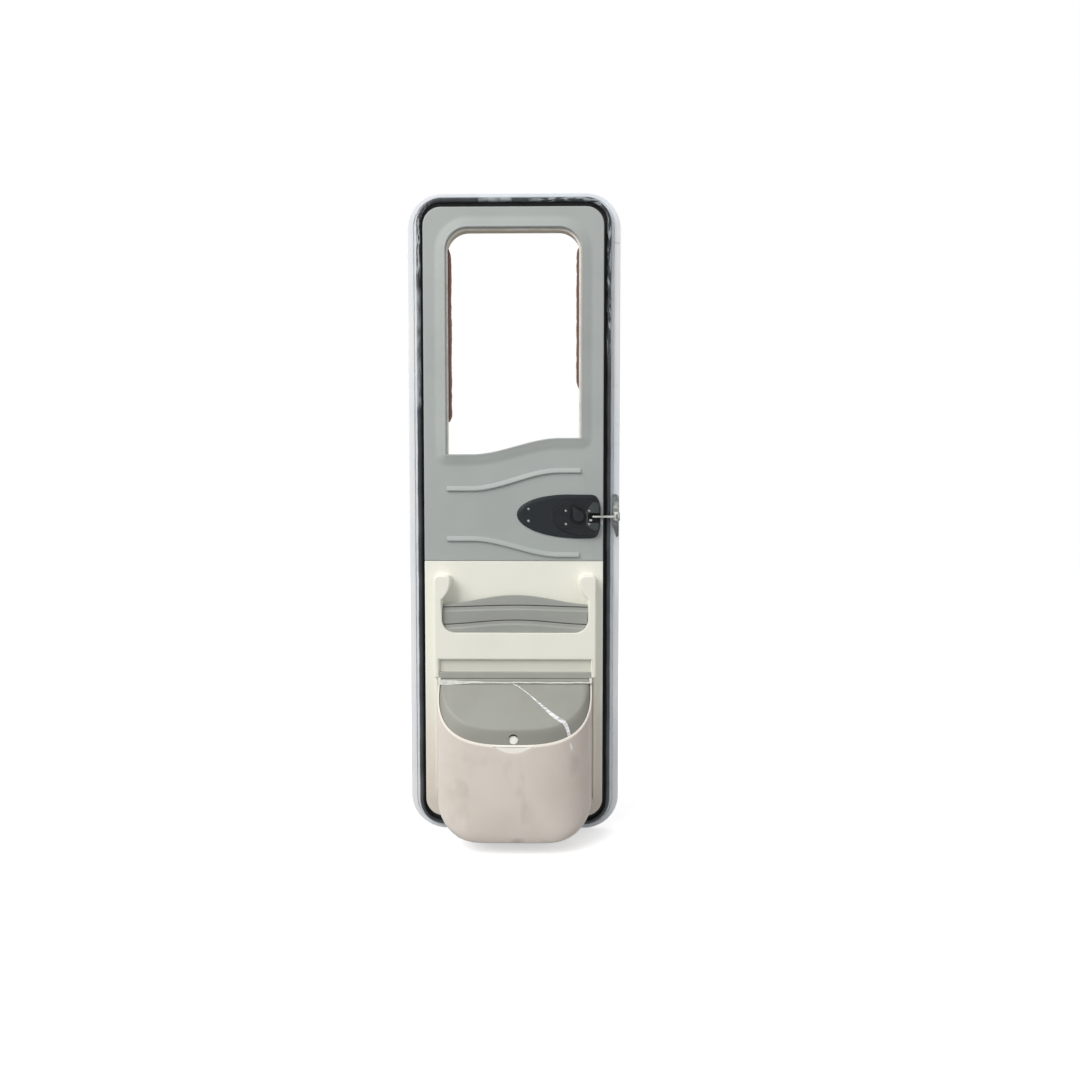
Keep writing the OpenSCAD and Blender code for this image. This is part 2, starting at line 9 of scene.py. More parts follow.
import bmesh
import bpy
import numpy as np
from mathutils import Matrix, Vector


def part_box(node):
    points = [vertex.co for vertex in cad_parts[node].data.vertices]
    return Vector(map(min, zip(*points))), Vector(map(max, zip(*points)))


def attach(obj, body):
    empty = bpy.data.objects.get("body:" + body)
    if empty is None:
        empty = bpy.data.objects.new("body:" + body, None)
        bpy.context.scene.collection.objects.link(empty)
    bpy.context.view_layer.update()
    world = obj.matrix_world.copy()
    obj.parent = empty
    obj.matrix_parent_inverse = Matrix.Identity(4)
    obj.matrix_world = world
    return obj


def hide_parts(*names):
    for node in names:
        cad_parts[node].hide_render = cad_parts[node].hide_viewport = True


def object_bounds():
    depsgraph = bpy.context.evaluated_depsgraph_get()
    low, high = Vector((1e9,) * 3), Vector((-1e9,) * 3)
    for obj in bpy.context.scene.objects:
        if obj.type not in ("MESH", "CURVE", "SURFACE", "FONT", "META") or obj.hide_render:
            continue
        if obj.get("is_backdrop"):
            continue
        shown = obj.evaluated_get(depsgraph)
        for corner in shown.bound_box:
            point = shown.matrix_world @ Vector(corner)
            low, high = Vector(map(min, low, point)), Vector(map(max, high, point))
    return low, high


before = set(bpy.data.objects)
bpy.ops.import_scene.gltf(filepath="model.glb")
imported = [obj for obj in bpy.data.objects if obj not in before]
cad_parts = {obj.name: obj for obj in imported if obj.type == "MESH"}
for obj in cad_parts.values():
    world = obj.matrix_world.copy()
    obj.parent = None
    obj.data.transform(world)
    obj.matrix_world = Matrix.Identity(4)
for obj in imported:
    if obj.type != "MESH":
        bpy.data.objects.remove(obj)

cad_low, cad_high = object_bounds()
print("CAD box", [round(v, 4) for v in (*cad_low, *cad_high)])

# %% [markdown]
# The sizes below are the same as the CAD model's, in millimetres, with x counted from the
# leaf's middle. Where a level or an edge can be read from a CAD node's box, it is read there.

# %% Sizes of the door
MM = 0.001


def cad_box(node):
    """Lowest and highest corner of a CAD node, in millimetres, x from the leaf's middle."""
    low, high = (np.array(corner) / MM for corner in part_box(node))
    return low - [mid_x, 0, 0], high - [mid_x, 0, 0]


mid_x = sum(corner[0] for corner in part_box("outer_skin")) / 2 / MM
leaf_high = cad_box("outer_skin")[1]
leaf_w, leaf_h = 2 * leaf_high[0], 2 * leaf_high[2]
out_y = leaf_high[1]
skin_y = cad_box("outer_skin")[0][1]
flange_y = skin_y - 3.0
bead_y = flange_y - 2.5
bulb_y = cad_box("perimeter_seal")[0][1]
liner_y = cad_box("lower_liner")[0][1]
back_y = cad_box("lower_liner")[1][1]
console_y = cad_box("storage_console")[0][1]
plate_y = cad_box("lock_escutcheon")[0][1]
face_y = cad_box("lock_face_plate")[0][1]
split_z = cad_box("lower_liner")[1][2]
half_liner = cad_box("lower_liner")[1][0]
half_window = 183.0
window_top = 777.0
sill_low, sill_high = 170.0, 214.0
window_r = 60.0
lock_z = 0.0
RIM_START = (cad_box("hinge_rod")[1][2] * MM - 0.009, console_y * MM)
RIM_SLOPE = 139 / (console_y - cad_box("bin_body")[0][1])
RIM_FRONT = RIM_START[0] - 0.139
SCOOP_X = (mid_x + 5) * MM
print("leaf", round(leaf_w, 1), "x", round(leaf_h, 1), "liner face", round(liner_y, 1))

# %% [markdown]
# The camera stands where the photographer stood: about two metres off, a little above the
# middle and a little to the lock side. Its place and lens come from fitting the door's known
# edges to the picture. The light is a plain soft studio: one broad lamp from the upper left in
# front, a weak one from the right, and an even world. The world is white to the camera and in
# reflections, and dimmer as a lamp, so that the background is white while colours stay true.

# %% Camera
PICTURE_PX = 1080
FOCAL_PX = 722.89
camera_data = bpy.data.cameras.new("camera")
camera_data.sensor_width = 36.0
camera_data.lens = FOCAL_PX / PICTURE_PX * camera_data.sensor_width
camera = bpy.data.objects.new("camera", camera_data)
camera.location = (0.3877, -2.016, 0.0219)
camera.rotation_euler = (math.radians(90 - 2.489), 0, math.radians(0.682))
bpy.context.scene.collection.objects.link(camera)
bpy.context.scene.camera = camera
print("lens", round(camera_data.lens, 2), "mm")

# %% Lamps
TARGET = Vector((0.29, 0.0, 0.0))


def soft_lamp(name, place, size, power, tint):
    """A square area lamp that faces the door's middle."""
    data = bpy.data.lights.new(name, "AREA")
    data.shape = "SQUARE"
    data.size = size
    data.energy = power
    data.color = tint
    lamp = bpy.data.objects.new(name, data)
    lamp.location = place
    lamp.rotation_euler = (TARGET - Vector(place)).to_track_quat("-Z", "Y").to_euler()
    bpy.context.scene.collection.objects.link(lamp)
    return lamp


soft_lamp("key_lamp", (-4.9, -4.7, 5.6), 6.5, 700, (1.0, 0.985, 0.965))
soft_lamp("fill_lamp", (4.6, -5.2, 1.6), 5.0, 45, (0.97, 0.985, 1.0))
bpy.context.scene.view_settings.view_transform = "Standard"

# %% [markdown]
# Shader nodes are written as sums. A Wire is one output of a node: adding or multiplying it
# makes a Math node. A Finish is one material, and its node method makes any other node.

# %% Shader helpers
class Wire:
    """One output socket, with the arithmetic that the finishes use."""

    def __init__(self, finish, socket):
        self.finish, self.socket = finish, socket

    def _math(self, operation, left, right):
        return self.finish.node("ShaderNodeMath", {"operation": operation}, {0: left, 1: right})

    def __add__(self, other):
        return self._math("ADD", self, other)

    def __sub__(self, other):
        return self._math("SUBTRACT", self, other)

    def __rsub__(self, other):
        return self._math("SUBTRACT", other, self)

    def __mul__(self, other):
        return self._math("MULTIPLY", self, other)

    __radd__ = __add__
    __rmul__ = __mul__


def tone(red, green, blue):
    """A colour as seen on a screen (0 to 255), turned into linear light."""
    seen = np.array([red, green, blue]) / 255
    return (*np.where(seen <= 0.04045, seen / 12.92, ((seen + 0.055) / 1.055) ** 2.4), 1.0)


class Finish:
    """A material under construction around one Principled shader."""

    def __init__(self, name, roughness=0.5, metallic=0.0, specular=0.5):
        self.material = bpy.data.materials.new(name)
        self.material.use_nodes = True
        self.tree = self.material.node_tree
        self.shader = self.tree.nodes["Principled BSDF"]
        self.shader.inputs["Roughness"].default_value = roughness
        self.shader.inputs["Metallic"].default_value = metallic
        self.shader.inputs["Specular IOR Level"].default_value = specular
        self.place = self.node("ShaderNodeTexCoord", {}, {}, "Object")
        axes = self.tree.nodes.new("ShaderNodeSeparateXYZ")
        self.tree.links.new(self.place.socket, axes.inputs[0])
        self.x, self.y, self.z = (Wire(self, axes.outputs[k]) for k in range(3))

    def node(self, kind, settings, inputs, output=0):
        """Makes a node, applies its settings, then sets or links its sockets."""
        made = self.tree.nodes.new(kind)
        for key, value in settings.items():
            if key == "stops":
                ramp = made.color_ramp.elements
                while len(ramp) < len(value):
                    ramp.new(0.5)
                for element, (where, colour) in zip(ramp, value):
                    element.position, element.color = where, colour
            else:
                setattr(made, key, value)
        for key, value in inputs.items():
            if isinstance(value, Wire):
                self.tree.links.new(value.socket, made.inputs[key])
            else:
                made.inputs[key].default_value = value
        return Wire(self, made.outputs[output])

    def noise(self, scale, detail=3.0, stretch=(1, 1, 1), shift=(0, 0, 0)):
        """Soft random pattern of about 1/scale metres, from 0 to 1."""
        where = self.node("ShaderNodeMapping", {}, {"Vector": self.place, "Scale": stretch, "Location": shift})
        return self.node("ShaderNodeTexNoise", {}, {"Vector": where, "Scale": scale, "Detail": detail})

    def step(self, value, low, high, start=0.0, end=1.0):
        """Smooth change from start to end while the value goes from low to high."""
        return self.node("ShaderNodeMapRange", {"interpolation_type": "SMOOTHSTEP"},
                         {0: value, 1: low, 2: high, 3: start, 4: end})

    def between(self, value, low, high, soft):
        """1 where the value lies between low and high, with soft ends."""
        return self.step(value, low - soft, low + soft) * self.step(value, high - soft, high + soft, 1.0, 0.0)

    def spot(self, x, z, radius_x, radius_z):
        """1 in the middle of a soft oval spot on the door's face, in metres, and 0 outside it."""
        across = (self.x - x) * (1 / radius_x)
        up = (self.z - z) * (1 / radius_z)
        return self.step(across * across + up * up, 0.0, 1.0, 1.0, 0.0)

    def mix(self, mask, under, over):
        """The colour under where the mask is 0, and over where it is 1."""
        return self.node("ShaderNodeMix", {"data_type": "RGBA"}, {0: mask, 6: under, 7: over}, 2)

    def colour(self, wire):
        self.tree.links.new(wire.socket, self.shader.inputs["Base Color"])
        return self

    def roughness(self, wire):
        self.tree.links.new(wire.socket, self.shader.inputs["Roughness"])
        return self

    def bump(self, height, depth):
        """Small relief: the height runs from 0 to 1 and is that many metres deep."""
        relief = self.node("ShaderNodeBump", {}, {"Strength": 1.0, "Distance": depth, "Height": height})
        self.tree.links.new(relief.socket, self.shader.inputs["Normal"])
        return self


print("shader helpers ready")

# %% [markdown]
# Moulded plastic. Vacuum-formed liners and injection-moulded panels share one recipe: a base
# colour that drifts slightly over the sheet, a fine grain as relief, and roughness that varies
# a little where hands have polished it. A second colour adds painted shade low on the grey liner
# and on the lid's skirt, and painted warm light, reflected from below, low on the cream.

# %% Plastics
def moulded_plastic(name, base, deep, rough=0.5, grain=0.00005, drift=6.0):
    """Grained plastic: base colour, drifting towards deep in soft patches."""
    finish = Finish(name, rough, specular=0.4)
    cloud = finish.noise(drift, 4.0)
    fine = finish.noise(900.0, 2.0)
    mask = finish.step(cloud, 0.42, 0.72)
    finish.sheet_colour = finish.mix(mask, base, deep)
    finish.roughness(finish.step(finish.noise(14.0, 4.0, shift=(3, 1, 2)), 0.3, 0.7, rough - 0.06, rough + 0.08))
    finish.bump(fine + finish.noise(60.0, 2.0) * 0.6, grain)
    finish.colour(finish.sheet_colour)
    return finish


grey_liner = moulded_plastic("grey_liner", tone(172, 178, 176), tone(167, 173, 171), 0.52)
low_shade = grey_liner.step(grey_liner.z, -0.12, 0.16, 1.0, 0.0)
grey_liner.colour(grey_liner.mix(low_shade * 0.4, grey_liner.sheet_colour, tone(164, 171, 168)))

cream = moulded_plastic("cream_plastic", tone(242, 242, 231), tone(238, 238, 226), 0.45)
# Towards the bottom the cream is painted pinker: painted warm light, reflected from below.
warm_low_light = cream.step(cream.z, -0.80, -0.36, 1.0, 0.0)
warm_light_patch = cream.step(cream.noise(9.0, 5.0, shift=(1, 4, 2)), 0.3, 0.8, 0.75, 1.0)
cream.colour(cream.mix(warm_low_light * warm_light_patch, cream.sheet_colour, tone(219, 210, 200)))
# The recess panel takes a darker copy of the cream: painted shade under the console's band.
recess_shaded_cream = moulded_plastic("recess_shaded_cream", tone(218, 219, 207), tone(212, 213, 200), 0.5)

grey_plastic = moulded_plastic("grey_plastic", tone(155, 156, 148), tone(148, 149, 141), 0.42)
# The lid's skirt is painted darker, most on the lock side: painted shade where it turns from the key lamp.
skirt_shade_mask = grey_plastic.node("ShaderNodeAttribute", {"attribute_name": "handled"}, {}, "Fac")
grey_plastic.colour(grey_plastic.mix(skirt_shade_mask * 0.55, grey_plastic.sheet_colour, tone(112, 110, 104)))
insert_grey = moulded_plastic("insert_grey", tone(156, 158, 153), tone(149, 151, 147), 0.48)
strip_grey = moulded_plastic("strip_grey", tone(166, 168, 160), tone(158, 160, 153), 0.5)
beige_strip = moulded_plastic("beige_strip", tone(244, 238, 230), tone(230, 220, 210), 0.6, drift=25.0)
print("plastics ready")

# %% [markdown]
# The bin is the same kind of plastic, but sees more use: it has turned pinkish, and it carries
# faint grey smudges where bags and knees have touched it. Each smudge is a soft oval broken up
# by noise; the oval along the foot is painted shade on the underside, and the lock side is
# painted darker as shade. The rim and the thumb notch are painted paler, as a painted highlight.

# %% Bin plastic
bin_finish = moulded_plastic("bin_plastic", tone(223, 215, 206), tone(216, 207, 197), 0.42)
cloudy = bin_finish.noise(22.0, 6.0, (1, 1, 0.5), (2, 0, 5))
smudges_and_foot_shade = 0.0
# The wide, strong oval at z -0.842 runs along the bin's foot as painted shade on its underside; the others are smudges.
for smudge_x, smudge_z, smudge_w, smudge_h, strength in (
        (0.155, -0.715, 0.040, 0.045, 0.40), (0.300, -0.650, 0.040, 0.040, 0.30), (0.318, -0.690, 0.035, 0.04, 0.30),
        (0.335, -0.76, 0.025, 0.08, 0.28), (0.445, -0.64, 0.030, 0.04, 0.35), (0.330, -0.842, 0.08, 0.016, 0.60),
        (0.215, -0.625, 0.06, 0.02, 0.25), (0.16, -0.78, 0.05, 0.05, 0.25)):
    patch = bin_finish.spot(smudge_x, smudge_z, smudge_w, smudge_h)
    smudges_and_foot_shade = patch * bin_finish.step(cloudy, 0.38, 0.68) * strength + smudges_and_foot_shade
grey_veil = bin_finish.step(bin_finish.noise(7.0, 5.0, (1, 1, 0.6), (8, 2, 1)), 0.45, 0.75) * 0.3
veil_and_side_shade = bin_finish.mix(grey_veil, bin_finish.sheet_colour, tone(204, 194, 184))
# Towards the lock side the bin is painted darker: painted shade on the side turned from the key lamp.
veil_and_side_shade = bin_finish.mix(bin_finish.step(bin_finish.x, 0.40, 0.50) * 0.3, veil_and_side_shade, tone(172, 152, 141))
smudged_and_shaded = bin_finish.mix(smudges_and_foot_shade, veil_and_side_shade, tone(160, 150, 143))
# The pale line along the rim and in the thumb notch is a painted highlight.
rim_fall = bin_finish.z + (bin_finish.y - RIM_START[1]) * (-RIM_SLOPE) - RIM_START[0]
rim_highlight_line = bin_finish.step(rim_fall, -0.0022, -0.0004) * 0.45
across = (bin_finish.x - SCOOP_X) * (1 / 0.046)
scoop_foot = RIM_FRONT - 0.0165 + across * across * 0.0165
scoop_highlight = bin_finish.step(bin_finish.z - scoop_foot, -0.0012, 0.0012) * bin_finish.step(bin_finish.y, -0.160, -0.150, 1.0, 0.0)
pale = bin_finish.node("ShaderNodeMath", {"operation": "MAXIMUM"}, {0: rim_highlight_line, 1: scoop_highlight})
bin_finish.colour(bin_finish.mix(pale, smudged_and_shaded, tone(240, 237, 228)))
print("bin plastic ready")

# %% [markdown]
# The lock parts are black plastic with a spark-eroded grain, which is rougher to the eye than
# the liners' grain. Their colour is a very dark blue-grey, and edges rubbed by fingers shine.

# %% Black plastic
def dark_plastic(name, base, worn_tone, rough):
    """Spark-grained dark plastic with faint pale rubbing."""
    finish = Finish(name, rough, specular=0.25)
    speck = finish.noise(420.0, 4.0)
    rub = finish.step(finish.noise(30.0, 5.0), 0.52, 0.75)
    finish.colour(finish.mix(rub * 0.6, base, worn_tone))
    finish.roughness(finish.step(finish.noise(80.0, 3.0), 0.3, 0.7, rough - 0.1, rough + 0.08))
    finish.bump(speck, 0.00012)
    return finish


black_plastic = dark_plastic("black_plastic", tone(22, 28, 32), tone(34, 40, 44), 0.50)
face_plastic = dark_plastic("face_plastic", tone(13, 17, 20), tone(23, 27, 30), 0.55)
turn_plastic = dark_plastic("turn_plastic", tone(24, 29, 32), tone(36, 41, 44), 0.40)
# The slot's near black is painted shadow.
slot_shadow_black = dark_plastic("slot_shadow_black", tone(6, 7, 8), tone(14, 15, 16), 0.7)
pad_plastic = dark_plastic("pad_plastic", tone(56, 62, 64), tone(70, 74, 75), 0.42)
print("dark plastics ready")

# %% [markdown]
# The door seal is black rubber. It is satin, so it shows a long highlight, and in places it is
# worn and dusty: pale smears lie along its run near the top and down both sides. The smears are
# noise stretched along the seal, kept to those places by soft windows on height and width. A grey
# band lower on the hinge side is a painted reflection, and the inner half is painted shadow.

# %% Rubber
rubber = Finish("black_rubber", 0.40, specular=0.5)
outer_half = rubber.node("ShaderNodeAttribute", {"attribute_name": "outer_half"}, {}, "Fac")
runs_up = rubber.noise(40.0, 6.0, (5.0, 5.0, 0.8))
runs_across = rubber.noise(40.0, 6.0, (0.8, 5.0, 5.0))
fine_smear = rubber.step(runs_up, 0.50, 0.57)
top_run = rubber.step(rubber.z, 0.835, 0.845)
top_patch = top_run * rubber.between(rubber.x, 0.197, 0.286, 0.004)
top_patch = top_patch * rubber.step(rubber.noise(40.0, 5.0), 0.30, 0.60, 0.35, 1.0)
top_smear = top_run * rubber.step(rubber.x, 0.30, 0.38) * rubber.step(runs_across, 0.49, 0.56)
side_left = rubber.step(rubber.x, 0.10, 0.12, 1.0, 0.0)
left_smear = side_left * rubber.between(rubber.z, 0.66, 0.84, 0.02) * fine_smear
right_smear = (1 - side_left) * rubber.between(rubber.z, 0.45, 0.80, 0.04) * fine_smear
# Lower down the hinge side, the grey band is a painted reflection of the bulb's sheen.
left_painted_sheen = side_left * rubber.between(rubber.z, 0.30, 0.62, 0.01) * rubber.step(runs_up, 0.35, 0.65, 0.15, 0.6)
dust = rubber.step(rubber.noise(9.0, 5.0), 0.4, 0.8) * 0.10
wear_and_sheen_sum = top_patch * 0.75 + top_smear * 0.7 + (left_smear + right_smear) * 0.95 + left_painted_sheen + dust
wear_and_sheen = rubber.node("ShaderNodeMath", {"operation": "MULTIPLY", "use_clamp": True}, {0: wear_and_sheen_sum, 1: outer_half})
# The inner half, beside the liner, is painted near black as painted shadow of the gap. The outer half keeps the
# rubber's slate tone.
rubber_and_gap_shadow = rubber.mix(outer_half, tone(7, 8, 9), tone(22, 30, 34))
rubber.colour(rubber.mix(wear_and_sheen, rubber_and_gap_shadow, tone(176, 182, 185)))
rubber.roughness(rubber.step(outer_half, 0.0, 1.0, 0.75, 0.36) + wear_and_sheen * 0.25)
rubber.bump(rubber.noise(160.0, 4.0), 0.00015)
print("rubber ready")

# %% [markdown]
# White lacquer covers the bent edge section and the outer sheet. It is smooth, with a faint
# orange-peel relief, scuffs that are a little darker, and a cooler tone towards the seal.

# %% Lacquer, metals and the sandwich
def lacquer(name, base, cool):
    """Smooth white paint with scuffs; cool is the tone it drifts to."""
    finish = Finish(name, 0.32, specular=0.5)
    scuff = finish.step(finish.noise(26.0, 6.0, (1, 1, 0.3)), 0.56, 0.72)
    drift = finish.step(finish.noise(3.0, 3.0), 0.35, 0.7)
    finish.painted = finish.mix(scuff * 0.25, finish.mix(drift, base, cool), tone(196, 199, 201))
    finish.colour(finish.painted)
    finish.roughness(finish.step(finish.noise(18.0, 4.0), 0.3, 0.7, 0.26, 0.42))
    finish.bump(finish.noise(220.0, 2.0), 0.00004)
    return finish


skin_paint = lacquer("white_skin", tone(240, 242, 244), tone(235, 238, 241))
edge_paint = lacquer("white_aluminium", tone(246, 247, 248), tone(236, 241, 247))
inner_strip = edge_paint.between(edge_paint.x, 0.019, 0.565, 0.002)
edge_paint.colour(edge_paint.mix(inner_strip * 0.6, edge_paint.painted, tone(234, 240, 248)))


def metal(name, base, deep, rough, brushed=(1, 1, 1)):
    """Plain metal with fine brush lines and slightly duller patches."""
    finish = Finish(name, rough, 1.0)
    lines = finish.noise(500.0, 3.0, brushed)
    dull = finish.step(finish.noise(40.0, 5.0), 0.4, 0.7)
    finish.colour(finish.mix(dull, base, deep))
    finish.roughness(finish.step(lines, 0.3, 0.7, rough - 0.08, rough + 0.12))
    finish.bump(lines, 0.00003)
    return finish


steel = metal("bright_steel", tone(178, 180, 177), tone(146, 147, 144), 0.36, (0.2, 1, 1))

screw_steel = metal("screw_steel", tone(150, 152, 150), tone(118, 120, 118), 0.42)
casting = Finish("grey_casting", 0.6, 0.0)
crumple = casting.noise(95.0, 6.0)
light_zone = casting.between(casting.z, -0.032, 0.034, 0.012)
foot_zone = casting.step(casting.z, -0.026, -0.012, 1.0, 0.0)
casting_grey = casting.mix(casting.step(crumple, 0.40, 0.62), tone(112, 118, 120), tone(150, 156, 157))
casting_light = casting.mix(casting.step(crumple, 0.44, 0.58), tone(140, 145, 142), tone(205, 210, 204))
casting_mid = casting.mix(light_zone, casting_grey, casting_light)
casting.colour(casting.mix(foot_zone * 0.8, casting_mid, tone(88, 90, 92)))
casting.bump(crumple, 0.0012)

foam = Finish("core_foam", 0.9, specular=0.2)
cells = foam.node("ShaderNodeTexVoronoi", {}, {"Vector": foam.place, "Scale": 700.0})
foam.colour(foam.mix(foam.step(cells, 0.1, 0.7), tone(238, 233, 214), tone(220, 212, 190)))
foam.bump(cells, 0.0006)

timber = Finish("timber", 0.85, specular=0.25)
grain_lines = timber.noise(60.0, 6.0, (6, 6, 0.25))
saw_marks = timber.noise(120.0, 3.0, (0.3, 0.3, 3.0))
wood = timber.mix(timber.step(grain_lines, 0.3, 0.7), tone(126, 95, 83), tone(152, 122, 109))
# The lock-side batten, right of x 0.29, is painted darker as painted shade.
wood = timber.mix(timber.step(timber.x, 0.28, 0.30) * 0.45, wood, tone(100, 76, 66))
timber.colour(timber.mix(timber.step(saw_marks, 0.5, 0.8) * 0.5, wood, tone(92, 70, 62)))
timber.bump(grain_lines + saw_marks * 0.6, 0.0006)

nylon = Finish("white_nylon", 0.4)
nylon.colour(nylon.mix(nylon.noise(200.0, 2.0), tone(226, 228, 226), tone(206, 208, 206)))
print("lacquer, metals, foam and timber ready")

# %% [markdown]
# The strands of clear protective film are wrinkled, so they look milky white with brighter
# folds. A thin milky surface with part transparency reads as film without real refraction.

# %% Film
film = Finish("clear_film", 0.22, specular=0.7)
along = film.node("ShaderNodeMapping", {}, {"Vector": film.place, "Rotation": (0, 0.65, 0), "Scale": (0.22, 0.6, 1)})
folds = film.node("ShaderNodeTexNoise", {}, {"Vector": along, "Scale": 330.0, "Detail": 4.0})
film.colour(film.mix(film.step(folds, 0.35, 0.65), tone(204, 204, 207), tone(240, 240, 241)))
film.tree.links.new(film.step(folds, 0.30, 0.55, 0.6, 1.0).socket, film.shader.inputs["Alpha"])
film.bump(folds, 0.0004)
thin_film = Finish("thin_film", 0.25, specular=0.7)
thin_folds = thin_film.noise(120.0, 4.0, (0.5, 1, 1))
thin_film.colour(thin_film.mix(thin_folds, tone(226, 227, 220), tone(242, 243, 238)))
thin_film.tree.links.new(thin_film.step(thin_folds, 0.35, 0.60, 0.85, 1.0).socket, thin_film.shader.inputs["Alpha"])
thin_film.bump(thin_folds, 0.0001)
print("film ready")

# %% [markdown]
# Every shape is a grid of points or a ring that is carried through levels. These helpers turn
# such arrays into a mesh, close it, point its faces outwards, and say which body it rides on,
# which finish it takes and which CAD nodes it stands for.

# %% Mesh helpers
def grid_faces(rows, columns, close_rows=False, close_columns=False):
    """Quads between neighbouring points of a grid; a closed side joins its last line to its first."""
    i = np.arange(rows if close_rows else rows - 1)
    j = np.arange(columns if close_columns else columns - 1)
    a, b = (part.ravel() for part in np.meshgrid(i, j, indexing="ij"))
    a_next, b_next = (a + 1) % rows, (b + 1) % columns
    corners = (a * columns + b, a * columns + b_next, a_next * columns + b_next, a_next * columns + b)
    return np.column_stack(corners).tolist()


def grid_shell(points, close_rows=False, close_columns=False, caps=""):
    """A shell from an array of rows of points; caps names the lines that get a flat cap: first, last."""
    rows, columns = points.shape[:2]
    faces = grid_faces(rows, columns, close_rows, close_columns)
    if "first" in caps:
        faces.append(list(range(columns)))
    if "last" in caps:
        faces.append(list(range((rows - 1) * columns, rows * columns)))
    if "sides" in caps:
        faces.append([i * columns for i in range(rows)])
        faces.append([i * columns + columns - 1 for i in range(rows)])
    return points.reshape(-1, 3), faces


def make_mesh(name, shells):
    """One mesh from several shells in millimetres: doubles merged, faces turned outwards."""
    vertices, faces, start = [], [], 0
    for points, shell_faces in shells:
        vertices.append((points + [mid_x, 0, 0]) * MM)
        faces += [[corner + start for corner in face] for face in shell_faces]
        start += len(points)
    mesh = bpy.data.meshes.new(name)
    mesh.from_pydata(np.concatenate(vertices).tolist(), [], faces)
    work = bmesh.new()
    work.from_mesh(mesh)
    bmesh.ops.remove_doubles(work, verts=work.verts, dist=0.000002)
    bmesh.ops.recalc_face_normals(work, faces=work.faces)
    work.to_mesh(mesh)
    work.free()
    return mesh


def finish_mesh(made, sharp=32):
    """Smooth shading that keeps edges sharper than the angle, weighted by face area."""
    mesh = made.data
    mesh.polygons.foreach_set("use_smooth", np.ones(len(mesh.polygons), bool))
    mesh.set_sharp_from_angle(angle=math.radians(sharp))
    weighted = made.modifiers.new("even shading", "WEIGHTED_NORMAL")
    weighted.keep_sharp = True


def seat(made, finish, body, nodes):
    """Gives a piece its finish, its body and the CAD nodes that it stands for."""
    made.data.materials.clear()
    made.data.materials.append(finish.material)
    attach(made, body)
    if nodes:
        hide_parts(*nodes)
    print(made.name, len(made.data.polygons), "faces")
    return made


def piece(name, shells, finish, nodes=(), body="leaf", sharp=32):
    """A finished piece from closed shells."""
    made = bpy.data.objects.new(name, make_mesh(name, shells))
    bpy.context.scene.collection.objects.link(made)
    finish_mesh(made, sharp)
    return seat(made, finish, body, nodes)


def cut(target, cutters):
    """Subtracts closed shells from a piece, and keeps the result as its mesh."""
    tool = bpy.data.objects.new("cutter", make_mesh("cutter", cutters))
    bpy.context.scene.collection.objects.link(tool)
    carve = target.modifiers.new("cut", "BOOLEAN")
    carve.object, carve.solver = tool, "EXACT"
    shading = [m for m in target.modifiers if m.type == "WEIGHTED_NORMAL"]
    for modifier in shading:
        modifier.show_viewport = modifier.show_render = False
    view = bpy.context.evaluated_depsgraph_get()
    result = bpy.data.meshes.new_from_object(target.evaluated_get(view))
    target.modifiers.clear()
    target.data = result
    bpy.data.objects.remove(tool)
    finish_mesh(target)
    return target


# %% [markdown]
# A moulded plate is an outline carried through rows of inset and rise. The inset moves each
# corner along its mitre, so walls stay even, and the rise lifts the ring off its seat. A few
# rows near the edge give the rounded edge that every moulded part has.

# %% Outlines and plates
def arc(x, z, radius, start, end, steps=16):
    """Points on a circle between two angles in degrees."""
    turn = np.radians(np.linspace(start, end, steps + 1))
    return np.column_stack([x + radius * np.cos(turn), z + radius * np.sin(turn)])


def mitres(outline):
    """Inward step at each corner of an anticlockwise outline that moves both its edges in by 1."""
    edge = np.roll(outline, -1, 0) - outline
    edge /= np.linalg.norm(edge, axis=1)[:, None]
    inward = np.column_stack([-edge[:, 1], edge[:, 0]])
    before = np.roll(inward, 1, 0)
    together = 1 + (inward * before).sum(1)
    return (inward + before) / np.maximum(together, 0.35)[:, None]


def level_ring(outline, y):
    """The outline as 3-D points at the depth y."""
    return np.insert(outline, 1, y, axis=1)


def plate_shell(outline, level, rows, outwards=False, soft=1.0):
    """A closed plate: rows of (inset, rise) from the seat at level up to the face; soft scales the inset."""
    step, way = mitres(outline) * np.reshape(soft, (-1, 1)), 1 if outwards else -1
    rings = [level_ring(outline + step * inset, level + way * rise) for inset, rise in rows]
    return grid_shell(np.array(rings), close_columns=True, caps="first last")


def rounded_edge(height, radius, steps=5, foot=0.0):
    """Rows of (inset, rise) for a wall of that height with a quarter-round at the top."""
    turn = np.linspace(0, math.pi / 2, steps + 1)
    rows = [(radius * (1 - math.cos(a)), height - radius + radius * math.sin(a)) for a in turn]
    return [(-foot, 0.0), (-foot * 0.3, foot * 0.6)] * bool(foot) + [(0.0, foot)] + rows


def rounded_box(x, z, width, height, radius, steps=8):
    """Anticlockwise rounded rectangle about a middle point."""
    corners = ((1, 1), (-1, 1), (-1, -1), (1, -1))
    return np.concatenate([arc(x + sx * (width / 2 - radius), z + sz * (height / 2 - radius), radius,
                               90 * k, 90 * k + 90, steps) for k, (sx, sz) in enumerate(corners)])


def smooth_rise(x, start, end):
    """Rises from 0 to 1 between start and end, level at both."""
    s = np.clip((x - start) / (end - start), 0, 1)
    return s * s * (3 - 2 * s)


